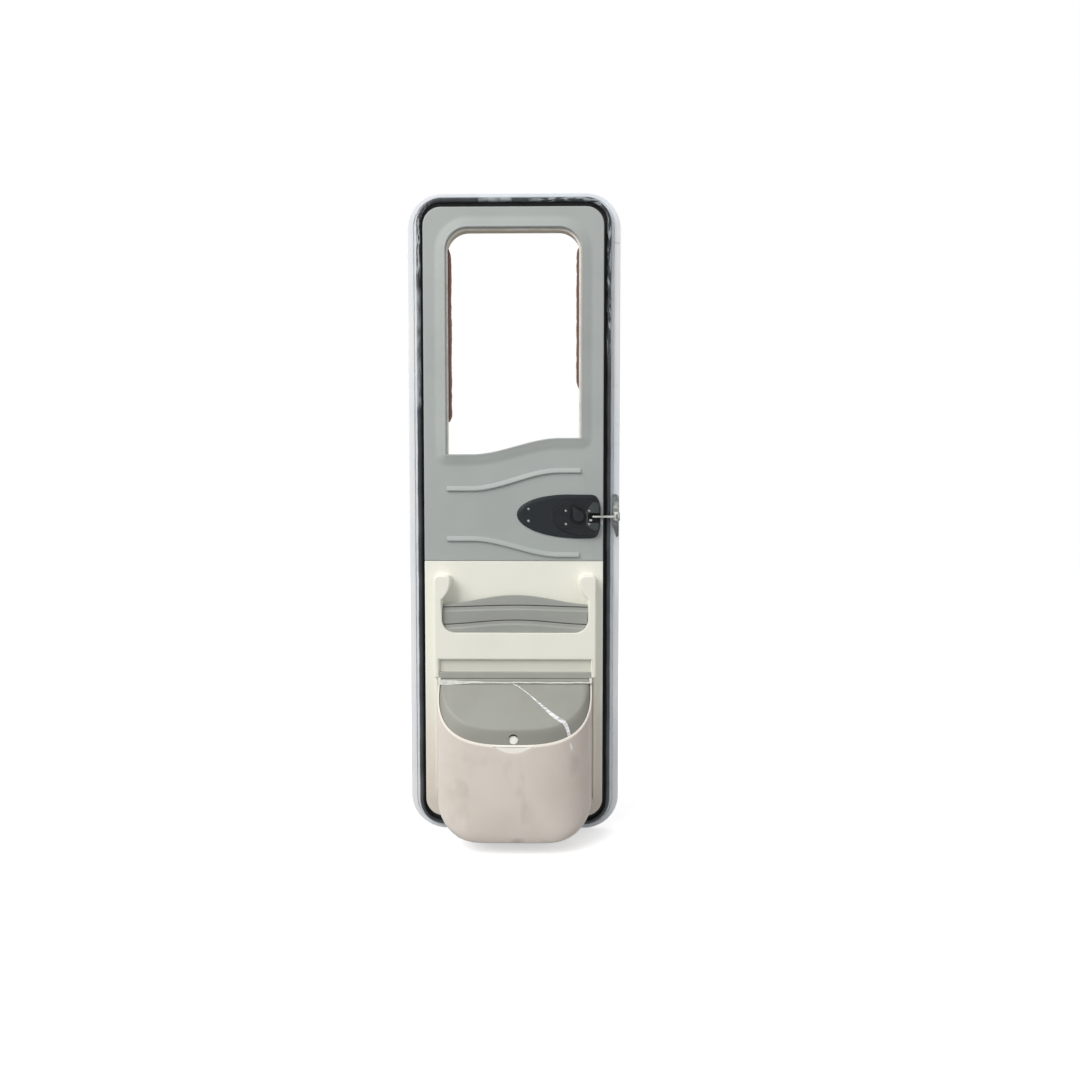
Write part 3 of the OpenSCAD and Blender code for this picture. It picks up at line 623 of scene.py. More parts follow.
def turned(profile, centre, axis, steps=40):
    """A profile of (radius, travel) turned round an axis through the centre: 'x', 'y' or 'z'."""
    turn = np.linspace(0, 2 * math.pi, steps, endpoint=False)
    radius, travel = np.array(profile, float).T
    a, b = np.outer(radius, np.cos(turn)), np.outer(radius, np.sin(turn))
    c = np.repeat(travel[:, None], steps, 1)
    order = {"x": (c, a, b), "y": (a, c, b), "z": (a, b, c)}[axis]
    return grid_shell(np.stack(order, -1) + centre, close_columns=True, caps="first last")


# %% [markdown]
# The leaf's edge is one white section, bent round the whole leaf: an outer bead, a narrow
# groove, a lower inner strip, and a web that turns back to the core. Its cross-section is a
# closed line of (inset, depth), swept round rounded rectangles. Insets stretch differently at
# the ends than at the sides, so a small table says how far each inset lies in from the ends.

# %% Rings round the leaf
INSET_SIDE = [0, 25, 38, 47, 60]
INSET_END = [0, 15, 28, 48, 61]
INSET_RADIUS = [96, 71, 58, 49, 36]


def leaf_ring(inset, side_z, end_x, steps=24):
    """Rounded rectangle at an inset from the leaf's edge, anticlockwise from the middle of the foot."""
    half_x = leaf_w / 2 - inset
    half_z = leaf_h / 2 - np.interp(inset, INSET_SIDE, INSET_END)
    radius = np.interp(inset, INSET_SIDE, INSET_RADIUS)

    def corner(sx, sz, start):
        return arc(sx * (half_x - radius), sz * (half_z - radius), radius, start, start + 90, steps)

    def line(x, z):
        return np.column_stack(np.broadcast_arrays(x, z))

    right, left = end_x[end_x >= 0], end_x[end_x < 0]
    return np.concatenate([
        line(right, -half_z), corner(1, -1, 270), line(half_x, side_z), corner(1, 1, 0),
        line(-end_x, half_z), corner(-1, 1, 90), line(-half_x, -side_z), corner(-1, -1, 180),
        line(left, -half_z)])


def sweep_round_leaf(profile, side_z, end_x):
    """Points (profile row, place round the leaf, 3) of a section carried round the leaf."""
    return np.array([level_ring(leaf_ring(inset, side_z, end_x), y) for inset, y in profile])


# %% Edge section
joint_z, joint_half = leaf_h / 2 - 135, 1.6
side_cuts = [joint_z - joint_half - 0.3, joint_z - joint_half, joint_z + joint_half, joint_z + joint_half + 0.3]
mirrored = [-z for z in side_cuts]
edge_z = np.array(sorted(side_cuts + mirrored + list(np.linspace(-700, 700, 29))))
edge_profile = [
    (1.2, skin_y), (0.2, skin_y - 0.5), (0.0, flange_y - 0.8), (0.3, bead_y + 0.8), (1.4, bead_y),
    (14.4, bead_y), (16.0, bead_y + 0.4), (16.8, bead_y + 1.4), (17.1, flange_y + 0.7), (18.3, flange_y + 0.9),
    (18.8, flange_y - 0.3), (19.6, flange_y - 1.1), (24.2, flange_y - 1.2), (25.4, flange_y), (48.0, flange_y),
    (48.0, back_y), (51.0, back_y), (51.0, skin_y)]
edge_points = sweep_round_leaf(edge_profile, edge_z, np.linspace(-180, 180, 10))
in_joint = (edge_points[..., 0] > 0) & (abs(edge_points[..., 2] - joint_z) <= joint_half + 0.01)
on_face = edge_points[..., 1] < flange_y + 1
outer_rows = (np.arange(len(edge_profile)) < 9)[:, None]
edge_points[..., 1] += 2.3 * (in_joint & on_face & outer_rows)
piece("edge_section", [grid_shell(edge_points, True, True)], edge_paint, ["edge_frame"])

# %% [markdown]
# The seal is a hollow bulb on a flat foot, pushed into the edge section. Its section is a soft
# D with a lip beside the liner. A real seal is never laid quite straight, so its path wavers
# by half a millimetre, by two sine waves of different length.

# %% Perimeter seal
seal_z = np.linspace(-770, 770, 90)
seal_profile = [
    (26.0, flange_y), (25.6, flange_y - 2), (25.1, flange_y - 6), (25.0, bulb_y + 7.5), (25.7, bulb_y + 4),
    (27.0, bulb_y + 1.6), (29.2, bulb_y + 0.3), (31.5, bulb_y), (33.8, bulb_y + 0.3), (35.8, bulb_y + 1.8),
    (37.2, bulb_y + 4), (38.0, bulb_y + 7.5), (37.6, flange_y - 7), (38.4, flange_y - 5), (43.0, flange_y - 4.6),
    (45.6, flange_y - 6.2), (46.6, flange_y - 6.0), (46.9, flange_y - 4), (46.9, flange_y)]
seal_points = sweep_round_leaf(seal_profile, seal_z, np.linspace(-190, 190, 24))
path = seal_points[7]
run = np.concatenate([[0], np.cumsum(np.linalg.norm(np.diff(path, axis=0), axis=1))])
inward = seal_points[10] - seal_points[4]
inward[:, 1] = 0
inward /= np.linalg.norm(inward, axis=1)[:, None]
whole = run[-1] + np.linalg.norm(path[0] - path[-1])
waver = 0.45 * np.sin(2 * math.pi * 23 * run / whole) + 0.35 * np.sin(2 * math.pi * 61 * run / whole + 1)
free_rows = np.array([0, 0, 0.3, 0.7, 0.9, 1, 1, 1, 1, 1, 0.9, 0.7, 0.3, 0, 0, 0, 0, 0, 0])
seal_points += (free_rows[:, None] * (0.5 + waver))[..., None] * inward
outer_share = np.array([1, 1, 1, 1, 1, 1, 1, 1, 1, 0.7, 0.2, 0, 0, 0, 0, 0, 0, 0, 0])
door_seal = piece("door_seal", [grid_shell(seal_points, True, True)], rubber, ["perimeter_seal"],
                  sharp=60)
at = np.zeros(len(door_seal.data.vertices) * 3)
door_seal.data.vertices.foreach_get("co", at)
flat_points = (seal_points.reshape(-1, 3) + [mid_x, 0, 0]) * MM
order = np.lexsort(np.round(flat_points, 6).T)
same = np.lexsort(np.round(at.reshape(-1, 3), 6).T)
share = np.zeros(len(flat_points))
if len(same) == len(order):
    share[same] = np.repeat(outer_share, seal_points.shape[1])[order]
door_seal.data.attributes.new("outer_half", "FLOAT", "POINT").data.foreach_set("value", share[:len(same)])
print("seal points told apart:", len(same) == len(order))

# %% [markdown]
# The upper liner is one vacuum-formed grey sheet. Round the window it rises in a moulding: a
# rolled lip at the opening, then a long slope down to the sheet. Because the moulding follows
# the opening, the sheet is made of rings that grow from the opening's outline to the liner's
# edge. The opening has round upper corners, square lower corners and a wavy sill; at the square
# corners the rings turn through a fan of directions, as a real draw radius does.

# %% Window outline
WAVE_FROM, WAVE_TO = -half_window + 68, half_window - 58


def sill_height(x):
    """Height of the wavy sill: a smooth rise from the hinge side to the lock side."""
    return sill_low + (sill_high - sill_low) * smooth_rise(x, WAVE_FROM, WAVE_TO)


def window_outline(sill_points=90, fan=9):
    """Points of the opening, anticlockwise, and the direction in which each one grows outwards."""
    up = np.linspace(sill_height(half_window), window_top - window_r, 26)[1:-1]
    down = np.linspace(window_top - window_r, sill_height(-half_window), 26)[1:-1]
    across = np.linspace(half_window - window_r, -half_window + window_r, 16)[1:-1]
    x = np.linspace(-half_window, half_window, sill_points)
    slope = np.gradient(sill_height(x), x)
    length = np.sqrt(1 + slope ** 2)
    along = np.column_stack([slope / length, -1 / length])

    def side(x_side, heights, way):
        ones = np.ones(len(heights))
        return np.column_stack([x_side * ones, heights]), np.column_stack([way * ones, 0 * ones])

    def corner(sign, start):
        place = arc(sign * (half_window - window_r), window_top - window_r, window_r, start, start + 90, 22)
        return place, (place - [sign * (half_window - window_r), window_top - window_r]) / window_r

    def fan_at(x_corner, first, last):
        turn = np.radians(np.linspace(first, last, fan))
        place = np.tile([x_corner, sill_height(x_corner)], (fan, 1))
        return place, np.column_stack([np.cos(turn), np.sin(turn)])

    top = (np.column_stack([across, np.full(len(across), window_top)]), np.tile([0.0, 1.0], (len(across), 1)))
    sill = (np.column_stack([x, sill_height(x)])[1:-1], along[1:-1])
    parts = [side(half_window, up, 1), corner(1, 0), top, corner(-1, 90), side(-half_window, down, -1),
             fan_at(-half_window, 180, 270), sill, fan_at(half_window, 270, 360)]
    return (np.concatenate([part[k] for part in parts]) for k in (0, 1))


def ray_to_outline(outline, centre, through):
    """Where rays from a centre through points meet a convex outline."""
    edge = np.roll(outline, -1, 0) - outline
    normal = np.column_stack([edge[:, 1], -edge[:, 0]])
    reach = ((outline - centre) * normal).sum(1)
    away = through - centre
    speed = away @ normal.T
    travel = np.where(speed > 1e-9, reach / np.where(speed > 1e-9, speed, 1), np.inf).min(1)
    return centre + away * travel[:, None]


# %% Upper liner
seam = 0.4
liner_r = INSET_RADIUS[3]
liner_top = leaf_h / 2 - INSET_END[3]
upper_edge = np.concatenate([
    [[half_liner, split_z + seam]],
    arc(half_liner - liner_r, liner_top - liner_r, liner_r, 0, 90, 24),
    arc(-half_liner + liner_r, liner_top - liner_r, liner_r, 90, 180, 24),
    [[-half_liner, split_z + seam]]])
opening, outwards = window_outline()
lip_rows = [(0.8, -3.0), (0.0, -2.4), (0.0, 3.8), (0.2, 5.2), (0.9, 6.3), (2.0, 6.9), (3.2, 7.0), (4.6, 6.7),
            (6.2, 6.0), (9.0, 5.3), (13.0, 4.5), (17.0, 3.5), (21.0, 2.4), (25.0, 1.3), (28.5, 0.5), (32.0, 0.1),
            (35.0, 0.0)]
rings = [level_ring(opening + outwards * grow, liner_y - rise) for grow, rise in lip_rows]
rim = ray_to_outline(upper_edge, np.array([0.0, 480.0]), opening + outwards * 35)
for corner_x in (-half_liner, half_liner):
    corner_point = np.array([corner_x, split_z + seam])
    rim[np.argmin(np.linalg.norm(rim - corner_point, axis=1))] = corner_point
rim_step = mitres(rim)
edge_rows = [(4.0, 0.0), (2.0, -0.1), (0.9, -0.5), (0.2, -1.3), (0.0, -2.2), (0.0, -3.0)]
rings += [level_ring(rim + rim_step * inset, liner_y - rise) for inset, rise in edge_rows]
liner_shell = grid_shell(np.array(rings), True, True)

# %% [markdown]
# Two ribs stiffen the sheet above and below the lock. Each is a strip that follows the same
# wave as the sill: its lower edge drops sharply to the sheet and its upper edge fades into it,
# which is why the picture shows a dark line only on the lower side.

# %% Ribs
def rib_shell(x_from, x_to, z_from, z_to):
    """A strip with a steep lower edge and a soft upper edge, square at both ends."""
    x = np.linspace(x_from, x_to, 70)
    z = z_from + (z_to - z_from) * smooth_rise(x, WAVE_FROM, WAVE_TO)
    slope = np.gradient(z, x)
    length = np.sqrt(1 + slope ** 2)
    section = [(-4.2, -0.6), (-5.2, 1.2), (-6.0, 3.4), (-5.6, 4.9), (-4.2, 5.4), (-2.4, 5.1),
               (2.0, 3.2), (5.6, 1.4), (7.6, 0.0), (7.6, -0.6)]
    rows = [np.column_stack([x - across * slope / length, np.full(len(x), liner_y - rise),
                             z + across / length]) for across, rise in section]
    return grid_shell(np.array(rows), close_rows=True, caps="sides")


ribs = [rib_shell(-half_window, half_window, lock_z + 76, lock_z + 125),
        rib_shell(-half_window, half_window - 4, lock_z - 61, lock_z - 105)]
piece("upper_liner_sheet", [liner_shell] + ribs, grey_liner, ["upper_liner"])

# %% [markdown]
# The lower liner is a flat cream sheet with the same rolled edge. A plate from an outline is
# enough: straight at the seam, round at the two lower corners.

# %% Lower liner
lower_edge = np.concatenate([
    [[half_liner, split_z - seam], [-half_liner, split_z - seam]],
    arc(-half_liner + liner_r, -liner_top + liner_r, liner_r, 180, 270, 24),
    arc(half_liner - liner_r, -liner_top + liner_r, liner_r, 270, 360, 24)])
sheet_rows = [(0.0, 0.0), (0.0, 0.8), (0.2, 1.7), (0.9, 2.5), (2.0, 2.9), (4.0, 3.0)]
piece("lower_liner_sheet", [plate_shell(lower_edge, back_y, sheet_rows)], cream, ["lower_liner"])

# %% [markdown]
# Inside the window opening the sandwich shows: two rough timber battens and a beige strip that
# trims the liner's edge. The battens are grids whose faces are roughened by seeded noise, more
# on the sawn inner edge; the strip is a small rounded section carried along the opening.

# %% Battens and strip
draws = np.random.default_rng(7)


def batten_shell(node, inner_side):
    """A sawn batten: a rounded section carried upwards, its inner edge ragged."""
    low, high = cad_box(node)
    levels = np.linspace(low[2], high[2], 150)
    section = rounded_box((low[0] + high[0]) / 2, (low[1] + high[1]) / 2,
                          high[0] - low[0] - 1.2, high[1] - low[1], 1.2, 3)
    points = np.array([np.column_stack([section, np.full(len(section), z)]) for z in levels])
    coarse = np.interp(levels, np.linspace(low[2], high[2], 34), draws.uniform(-1.5, 0.5, 34))
    fine = draws.uniform(-0.5, 0.2, (len(levels), len(section)))
    from_end = np.minimum(levels - low[2], high[2] - levels)
    coarse -= 7 * (1 - np.clip(from_end / 22, 0, 1)) ** 2
    on_edge = (points[..., 0] * inner_side) > (low[0] + high[0]) / 2 * inner_side
    points[..., 0] += inner_side * on_edge * (coarse[:, None] + fine)
    return grid_shell(points, close_columns=True, caps="first last")


piece("timber_batten_left", [batten_shell("window_batten_left", 1)], timber, ["window_batten_left"])
piece("timber_batten_right", [batten_shell("window_batten_right", -1)], timber, ["window_batten_right"])

strip_low = cad_box("window_strip")[0][2]
kept = (opening[:, 1] > strip_low) & (abs(opening[:, 0]) > -1)
first_kept = np.flatnonzero(kept & (opening[:, 0] > 0) & (outwards[:, 0] == 1))[0]
line = np.roll(np.arange(len(opening)), -first_kept)
line = line[kept[line] & ((outwards[line, 1] >= 0) | (opening[line, 1] > sill_high + 2))]
strip_rows = [(-0.2, back_y), (-0.4, back_y + 5.6), (-1.0, back_y + 6.0), (-4.4, back_y + 6.0), (-4.9, back_y + 5.5),
              (-5.0, back_y + 0.8), (-4.6, back_y + 0.2), (-4.0, back_y)]
ends = np.array([[half_window, sill_high + 1.5], [-half_window, sill_low + 1.5]])
line_at = np.concatenate([ends[:1], opening[line], ends[1:]])
line_way = np.concatenate([[[1.0, 0.0]], outwards[line], [[-1.0, 0.0]]])
strip_points = np.array([level_ring(line_at + line_way * grow, y) for grow, y in strip_rows])
piece("beige_edge_strip", [grid_shell(strip_points, close_rows=True, caps="sides")],
      beige_strip, ["window_strip"])

# %% [markdown]
# The lock has an egg-shaped escutcheon with a wide dark bevel, and a second, raised plate on
# its lock end with a thin raised rim. Both outlines are half ellipses of unequal power, blunt
# at the lock end and pointed at the other. A slot is cut through both where the pin passes.

# %% Egg outlines
def egg_outline(start, wide, end, half, lean, steps=36):
    """Outline widest at x = wide; the middle line climbs towards the pointed end by lean."""
    u = 1 - np.cos(np.radians(np.linspace(0, 90, steps + 1)))
    nose = start + (wide - start) * u
    tail = wide + (end - wide) * np.sin(np.radians(np.linspace(0, 90, steps + 1)))[1:]
    nose_half = half * np.sqrt(np.maximum(0, 1 - ((wide - nose) / (wide - start)) ** 2.2))
    tail_half = half * np.sqrt(np.maximum(0, 1 - ((tail - wide) / (end + 0.5 - wide)) ** 8))
    climb = lean * (wide - nose) / (wide - start)
    lower = np.concatenate([np.column_stack([nose, climb - nose_half])[1:], np.column_stack([tail, -tail_half])])
    upper = np.concatenate([np.column_stack([nose, climb + nose_half]), np.column_stack([tail, tail_half])])
    return np.concatenate([lower, upper[::-1]]) + [0, lock_z]


def egg_shell(start, wide, end, half, lean, level, rows):
    """A plate whose rings are smaller eggs: each inset shortens, narrows and blunts the outline alike."""
    rings = [level_ring(egg_outline(start + inset, wide, end - inset, half - inset, lean), level - rise)
             for inset, rise in rows]
    return grid_shell(np.array(rings), close_columns=True, caps="first last")


plate_end = cad_box("lock_escutcheon")[1][0]
slot_x, slot_low, slot_high = plate_end - 35, lock_z - 17, lock_z + 10
slot = plate_shell(rounded_box(slot_x + 30, (slot_low + slot_high) / 2, 60, slot_high - slot_low, 4),
                   liner_y + 4, [(0, 0), (0, 40)])
bevel_rows = [(0, 0), (0, 1.6), (0.7, 2.6), (3.0, 3.8), (6.5, 4.9), (9.0, 5.5), (10.0, 5.85), (11.5, 6.0)]
escutcheon = piece("lock_escutcheon_plate",
                   [egg_shell(plate_end - 229, plate_end - 63, plate_end, 60, 6, liner_y, bevel_rows)],
                   black_plastic, ["lock_escutcheon"])
cut(escutcheon, [slot])

rim_rows = [(0, 0), (0, 5.4), (0.5, 6.4), (1.5, 7.0), (2.8, 6.9), (4.0, 6.1), (5.5, 5.8), (9, 5.9)]
pad_edge = np.concatenate([
    arc(plate_end - 14, lock_z + 30, 9, 20, 90, 8),
    np.column_stack([np.linspace(plate_end - 22, plate_end - 41, 10), np.linspace(lock_z + 39, lock_z + 12, 10)]),
    np.column_stack([np.linspace(plate_end - 42, plate_end - 40, 8), np.linspace(lock_z + 9, lock_z - 24, 8)]),
    arc(plate_end - 16, lock_z - 28, 10, 250, 345, 8)])
pad = plate_shell(pad_edge, plate_y - 5.4, [(0, 0), (0, 0.9), (0.3, 1.2), (1.0, 1.4)])
face_plate = piece("lock_face_plate_inner", [egg_shell(plate_end - 128, plate_end - 46, plate_end - 1.5, 51, 1, plate_y, rim_rows)],
                   face_plastic, ["lock_face_plate"])
turn_x, turn_z = plate_end - 62, lock_z + 1
# A near-black plate under the slot is painted shadow, standing for the shade inside the slot.
slot_shadow_plate = plate_shell(rounded_box(slot_x + 16.5, (slot_low + slot_high) / 2, 36, slot_high - slot_low + 3, 1.5, 4),
                         liner_y, [(0, 0), (0, 1.0), (0.4, 1.4)])
piece("lock_slot_floor", [slot_shadow_plate], slot_shadow_black)
dish = turned([(22.5, plate_y - 3.4), (22.5, face_y - 4)], (turn_x, 0, turn_z), "y", 64)
cut(face_plate, [slot, dish])
lock_pad = piece("lock_face_pad", [pad], pad_plastic)
cut(lock_pad, [slot, dish])

# %% [markdown]
# The thumb turn is a round knob drawn out to a small tip, sitting in a shallow dish. Its top is
# domed: inner rings are the outline shrunk towards the knob's axis and raised a little more.

# %% Thumb turn
def turn_outline(reach=31.5, radius=16.0, tip=2.5, angle=120):
    """A circle joined by tangents to a small tip circle."""
    spread = math.degrees(math.acos((radius - tip) / reach))
    tip_x, tip_z = reach * math.cos(math.radians(angle)), reach * math.sin(math.radians(angle))
    return np.concatenate([arc(0, 0, radius, angle + spread, angle + 360 - spread, 48),
                           arc(tip_x, tip_z, tip, angle - spread, angle + spread, 10)])


turn_ring = turn_outline()
turn_step = mitres(turn_ring)
base_level = face_y - 2.5
turn_rows = [(0.8, 0.0, 1), (0.0, 0.8, 1), (0.2, 7.0, 1), (0.9, 9.0, 1), (2.0, 10.3, 1), (2.2, 10.9, 0.85),
             (2.2, 11.5, 0.6), (2.2, 11.9, 0.3), (2.2, 12.0, 0.06)]
turn_rings = [level_ring((turn_ring + turn_step * inset) * shrink + [turn_x, turn_z], base_level - rise)
              for inset, rise, shrink in turn_rows]
shaft = turned([(4.6, plate_y - 0.4), (5.0, plate_y - 0.8), (5.0, base_level - 1)], (turn_x, 0, turn_z), "y")
piece("thumb_turn_knob", [grid_shell(np.array(turn_rings), close_columns=True, caps="first last"), shaft],
      turn_plastic, ["thumb_turn"], body="thumb_turn")

# %% [markdown]
# The screws are small pan heads with a cross recess. A head is a grid of rings and angles whose
# height is a dome, less a cross where either coordinate is near zero and the radius is small.

# %% Screws
def screw_shell(x, z, level, radius=3.2, height=2.0):
    """A domed head with a cross recess, standing on the level."""
    ring = np.array([0.02, 0.3, 0.5, 0.7, 0.9, 1.2, 1.5, 1.8, 2.1, 2.5, 2.9, 3.1, 3.2, 3.2]) * radius / 3.2
    turn = np.linspace(0, 2 * math.pi, 48, endpoint=False)
    a, b = np.outer(ring, np.cos(turn)), np.outer(ring, np.sin(turn))
    tall = height * np.sqrt(np.maximum(0, 1 - (ring / radius * 0.86) ** 2))
    tall[-1] = 0
    cross = (np.minimum(abs(a), abs(b)) < 0.42) & (np.hypot(a, b) < 1.9)
    depth = tall[:, None] - 0.9 * cross
    points = np.stack([x + a, level - depth, z + b], -1)
    return grid_shell(points, close_columns=True, caps="first last")


piece("escutcheon_screw_heads", [screw_shell(plate_end - 197, lock_z + z, plate_y) for z in (-12, 21)],
      screw_steel, ["escutcheon_screws"])
piece("face_plate_screw_heads", [screw_shell(plate_end - x, lock_z + z, face_y + 1.1)
                                 for x in (95, 32) for z in (-20, 15.5)], screw_steel, ["face_plate_screws"])

# %% [markdown]
# The latch pin is a drawn steel rod with rounded ends that runs from the slot, over the seal,
# through the guide on the flange. The guide is a worn grey casting, lumpy and mottled, so its
# surface is pushed about by seeded noise. A white nylon chip lies at the slot.

# %% Latch pin and guide
pin_low, pin_high = cad_box("latch_pin")
pin_r, pin_y = (pin_high[2] - pin_low[2]) / 2, (pin_low[1] + pin_high[1]) / 2
pin_profile = [(0.4, pin_low[0]), (2.4, pin_low[0] + 0.3), (3.2, pin_low[0] + 1.2), (pin_r, pin_low[0] + 2.6),
               (pin_r, pin_low[0] + 30), (pin_r, pin_high[0] - 1.2), (pin_r - 0.9, pin_high[0] - 0.2),
               (0.4, pin_high[0])]
piece("latch_pin_rod", [turned(pin_profile, (0, pin_y, lock_z), "x")], steel,
      ["latch_pin"], body="latch_pin")

guide_low, guide_high = cad_box("latch_guide")
guide_edge = np.concatenate([
    [[guide_low[0], lock_z - 23], [guide_high[0] - 6, guide_low[2]], [guide_high[0], guide_low[2] + 5]],
    arc(guide_high[0] - 10, guide_high[2] - 10, 10, 0, 90, 8), arc(guide_low[0] + 3, guide_high[2] - 3, 3, 90, 180, 4)])
guide_plate = plate_shell(guide_edge, bead_y, rounded_edge(6, 2.2, 4))
boss = plate_shell(rounded_box((guide_low[0] + guide_high[0]) / 2, lock_z, 15.6, 26, 5), bead_y,
                   rounded_edge(bead_y - guide_low[1], 6, 5))
guide = piece("latch_guide_casting", [guide_plate, boss], casting, ["latch_guide"])
cut(guide, [turned([(pin_r + 0.3, guide_low[0] - 5), (pin_r + 0.3, guide_high[0] + 5)], (0, pin_y, lock_z), "x")])

chip_ring = rounded_box(slot_x + 7, lock_z - 10.5, 9, 6, 2.4, 4)
piece("nylon_chip", [plate_shell(chip_ring, liner_y, rounded_edge(8.5, 2.0, 4))], nylon)

# %% [markdown]
# The storage console is one cream moulding: two horns, a cut-out for the pocket, a flat band,
# and a recess for the bin's hinge strip. Seen from the front it is a single outline, so one
# outline carried through rows of inset and rise gives its soft edges all round, with a panel
# behind the recess.

# %% Storage console
CONSOLE_X = 5.0
console_low, console_high = cad_box("storage_console")
half_console = (console_high[0] - console_low[0]) / 2
horn_top, strip_bottom = console_high[2], console_low[2]
cut_half, cut_r = half_console - 22, 36.0
cut_bottom = horn_top - 156
recess_top, recess_half = cut_bottom - 74, cut_half + 8
console_depth = liner_y - console_y


def console_outline():
    """Front outline: outer sides, horns, pocket cut-out and the recess at the foot."""
    bulge, inner = 14.0, half_console - 46
    t = np.linspace(0.04, 1, 22)
    drop = 68 - bulge
    side = np.column_stack([inner + (cut_half - inner) * t ** 2.2, horn_top - bulge - drop * t])
    right = np.concatenate([
        [[half_console, strip_bottom]],
        arc(half_console - bulge, horn_top - bulge, bulge, 0, 90, 12),
        arc(inner + bulge, horn_top - bulge, bulge, 90, 180, 12),
        side,
        arc(cut_half - cut_r, cut_bottom + cut_r, cut_r, 0, -90, 24)])
    left = right[::-1] * [-1, 1]
    recess = [[-recess_half, strip_bottom], [-recess_half, recess_top], [recess_half, recess_top],
              [recess_half, strip_bottom]]
    return np.concatenate([right, left, recess]) + [CONSOLE_X, 0]


console_rows = rounded_edge(console_depth, 5.5, 7, foot=1.6)
recess_panel = plate_shell(rounded_box(CONSOLE_X, (strip_bottom + recess_top) / 2 + 1.5, 2 * recess_half + 1,
                                       recess_top - strip_bottom + 4, 1, 3), console_y + 24, [(0, 0), (0, 14)])
console_ring = console_outline()
in_pocket = (abs(console_ring[:, 0] - CONSOLE_X) < cut_half + 0.5) & (console_ring[:, 1] < horn_top - 72)
crisp = np.where(in_pocket & (console_ring[:, 1] > cut_bottom - 1), 0.25, 1.0)
piece("console_moulding", [plate_shell(console_ring, liner_y, console_rows, soft=crisp)],
      cream, ["storage_console"])
# The panel behind the recess takes the darker cream, as painted shade.
piece("console_recess_panel", [recess_panel], recess_shaded_cream)

# %% [markdown]
# The pocket's front is a grey insert in three steps. Each step's top edge is an arch, with a
# dark groove above it and a lit chamfer. The surface is a grid: x across, and a list of rows
# down the front, each row an arch height and a depth. The lower corners follow the cut-out.

# %% Pocket insert
def arch_height(x, top, dip):
    """Top edge that falls by dip from the middle towards both ends."""
    return top - dip * (1 - np.cos(np.minimum(math.pi, abs(x) / cut_half * math.radians(165)))) / 2


insert_low, insert_top = cut_bottom + 1.4, cad_box("pocket_insert")[1][2]
STEP_ROWS = [(0.6, 0.9), (8.0, 0.8), (8.0, -1.8), (0.5, -2.2), (0.0, -3.0), (0.0, -9.0), (-0.6, -10.0),
             (-3.0, -12.6), (-3.6, -14.0)]
insert_rows = [(0, 26, 26, -6), (0, 26, 22, -1.2), (0, 26, 19, 0), (0, 26, 17, -0.6), (0, 26, 16, -2.4)]
for fall, dip, depth in ((27, 5, 14.6), (67, 12, 11.0)):
    insert_rows += [(fall, dip, depth + back, offset) for back, offset in STEP_ROWS]
u = np.linspace(-1, 1, 121)


def insert_row(fall, dip, depth, offset):
    """One row of the insert's front, kept inside the round lower corners of the cut-out."""
    reach = cut_half - 1
    z = np.maximum(arch_height(u * reach, insert_top - fall, dip) + offset, insert_low)
    low = np.clip(cut_bottom + cut_r - z, 0, cut_r - 0.5)
    x = u * (reach - cut_r + np.sqrt(cut_r ** 2 - low ** 2))
    return np.column_stack([x + CONSOLE_X, np.full(len(u), console_y + depth), z])


insert_grid = [insert_row(*row) for row in insert_rows]
for share in np.linspace(0.2, 1, 9):
    row = insert_row(67, 12, 7.4, -14.0)
    row[:, 2] += (insert_low - row[:, 2]) * share
    low = np.clip(cut_bottom + cut_r - row[:, 2], 0, cut_r - 0.5)
    row[:, 0] = CONSOLE_X + u * (cut_half - 1 - cut_r + np.sqrt(cut_r ** 2 - low ** 2))
    insert_grid.append(row)
back_row = insert_grid[-1].copy()
back_row[:, 1] = console_y + 26
piece("pocket_front", [grid_shell(np.array(insert_grid + [back_row]), close_rows=True, caps="sides")],
      insert_grey, ["pocket_insert"], sharp=40)

# %% [markdown]
# Two slim rails stand beside the bin. Their section is a half-round, and their foot tapers to
# a point. The hinge strip lies across the recess, and two small ears carry the hinge rod.

# %% Rails, strip and ears
def rail_shell(node):
    """A half-round section carried downwards, narrowed at its foot."""
    low, high = cad_box(node)
    middle, half, depth = (low[0] + high[0]) / 2, (high[0] - low[0]) / 2, high[1] - low[1]
    levels = np.concatenate([np.linspace(high[2], low[2] + 40, 12), np.linspace(low[2] + 36, low[2], 14)])
    slim = np.clip((levels - low[2]) / 34, 0, 1) ** 0.5 * 0.75 + 0.25
    turn = np.linspace(0, math.pi, 21)
    x = middle + half * np.sign(np.cos(turn)) * abs(np.cos(turn)) ** 0.7
    y = high[1] - depth * np.sin(turn) ** 0.45
    points = np.array([np.column_stack([middle + (x - middle) * s, high[1] + (y - high[1]) * (0.55 + 0.45 * s),
                                        np.full(len(x), z)]) for z, s in zip(levels, slim)])
    return grid_shell(points, close_columns=True, caps="first last")


piece("rail_hinge_side", [rail_shell("left_rail")], cream, ["left_rail"])
piece("rail_lock_side", [rail_shell("right_rail")], cream, ["right_rail"])


def block_shell(node, radius, steps=4, lower=0.0):
    """A small block with rounded front edges that fills a CAD node's box, its foot lower by that much."""
    low, high = cad_box(node)
    low[2] -= lower
    ring = rounded_box((low[0] + high[0]) / 2, (low[2] + high[2]) / 2, high[0] - low[0], high[2] - low[2],
                       radius, steps)
    return plate_shell(ring, high[1], rounded_edge(high[1] - low[1], radius * 0.9, steps))


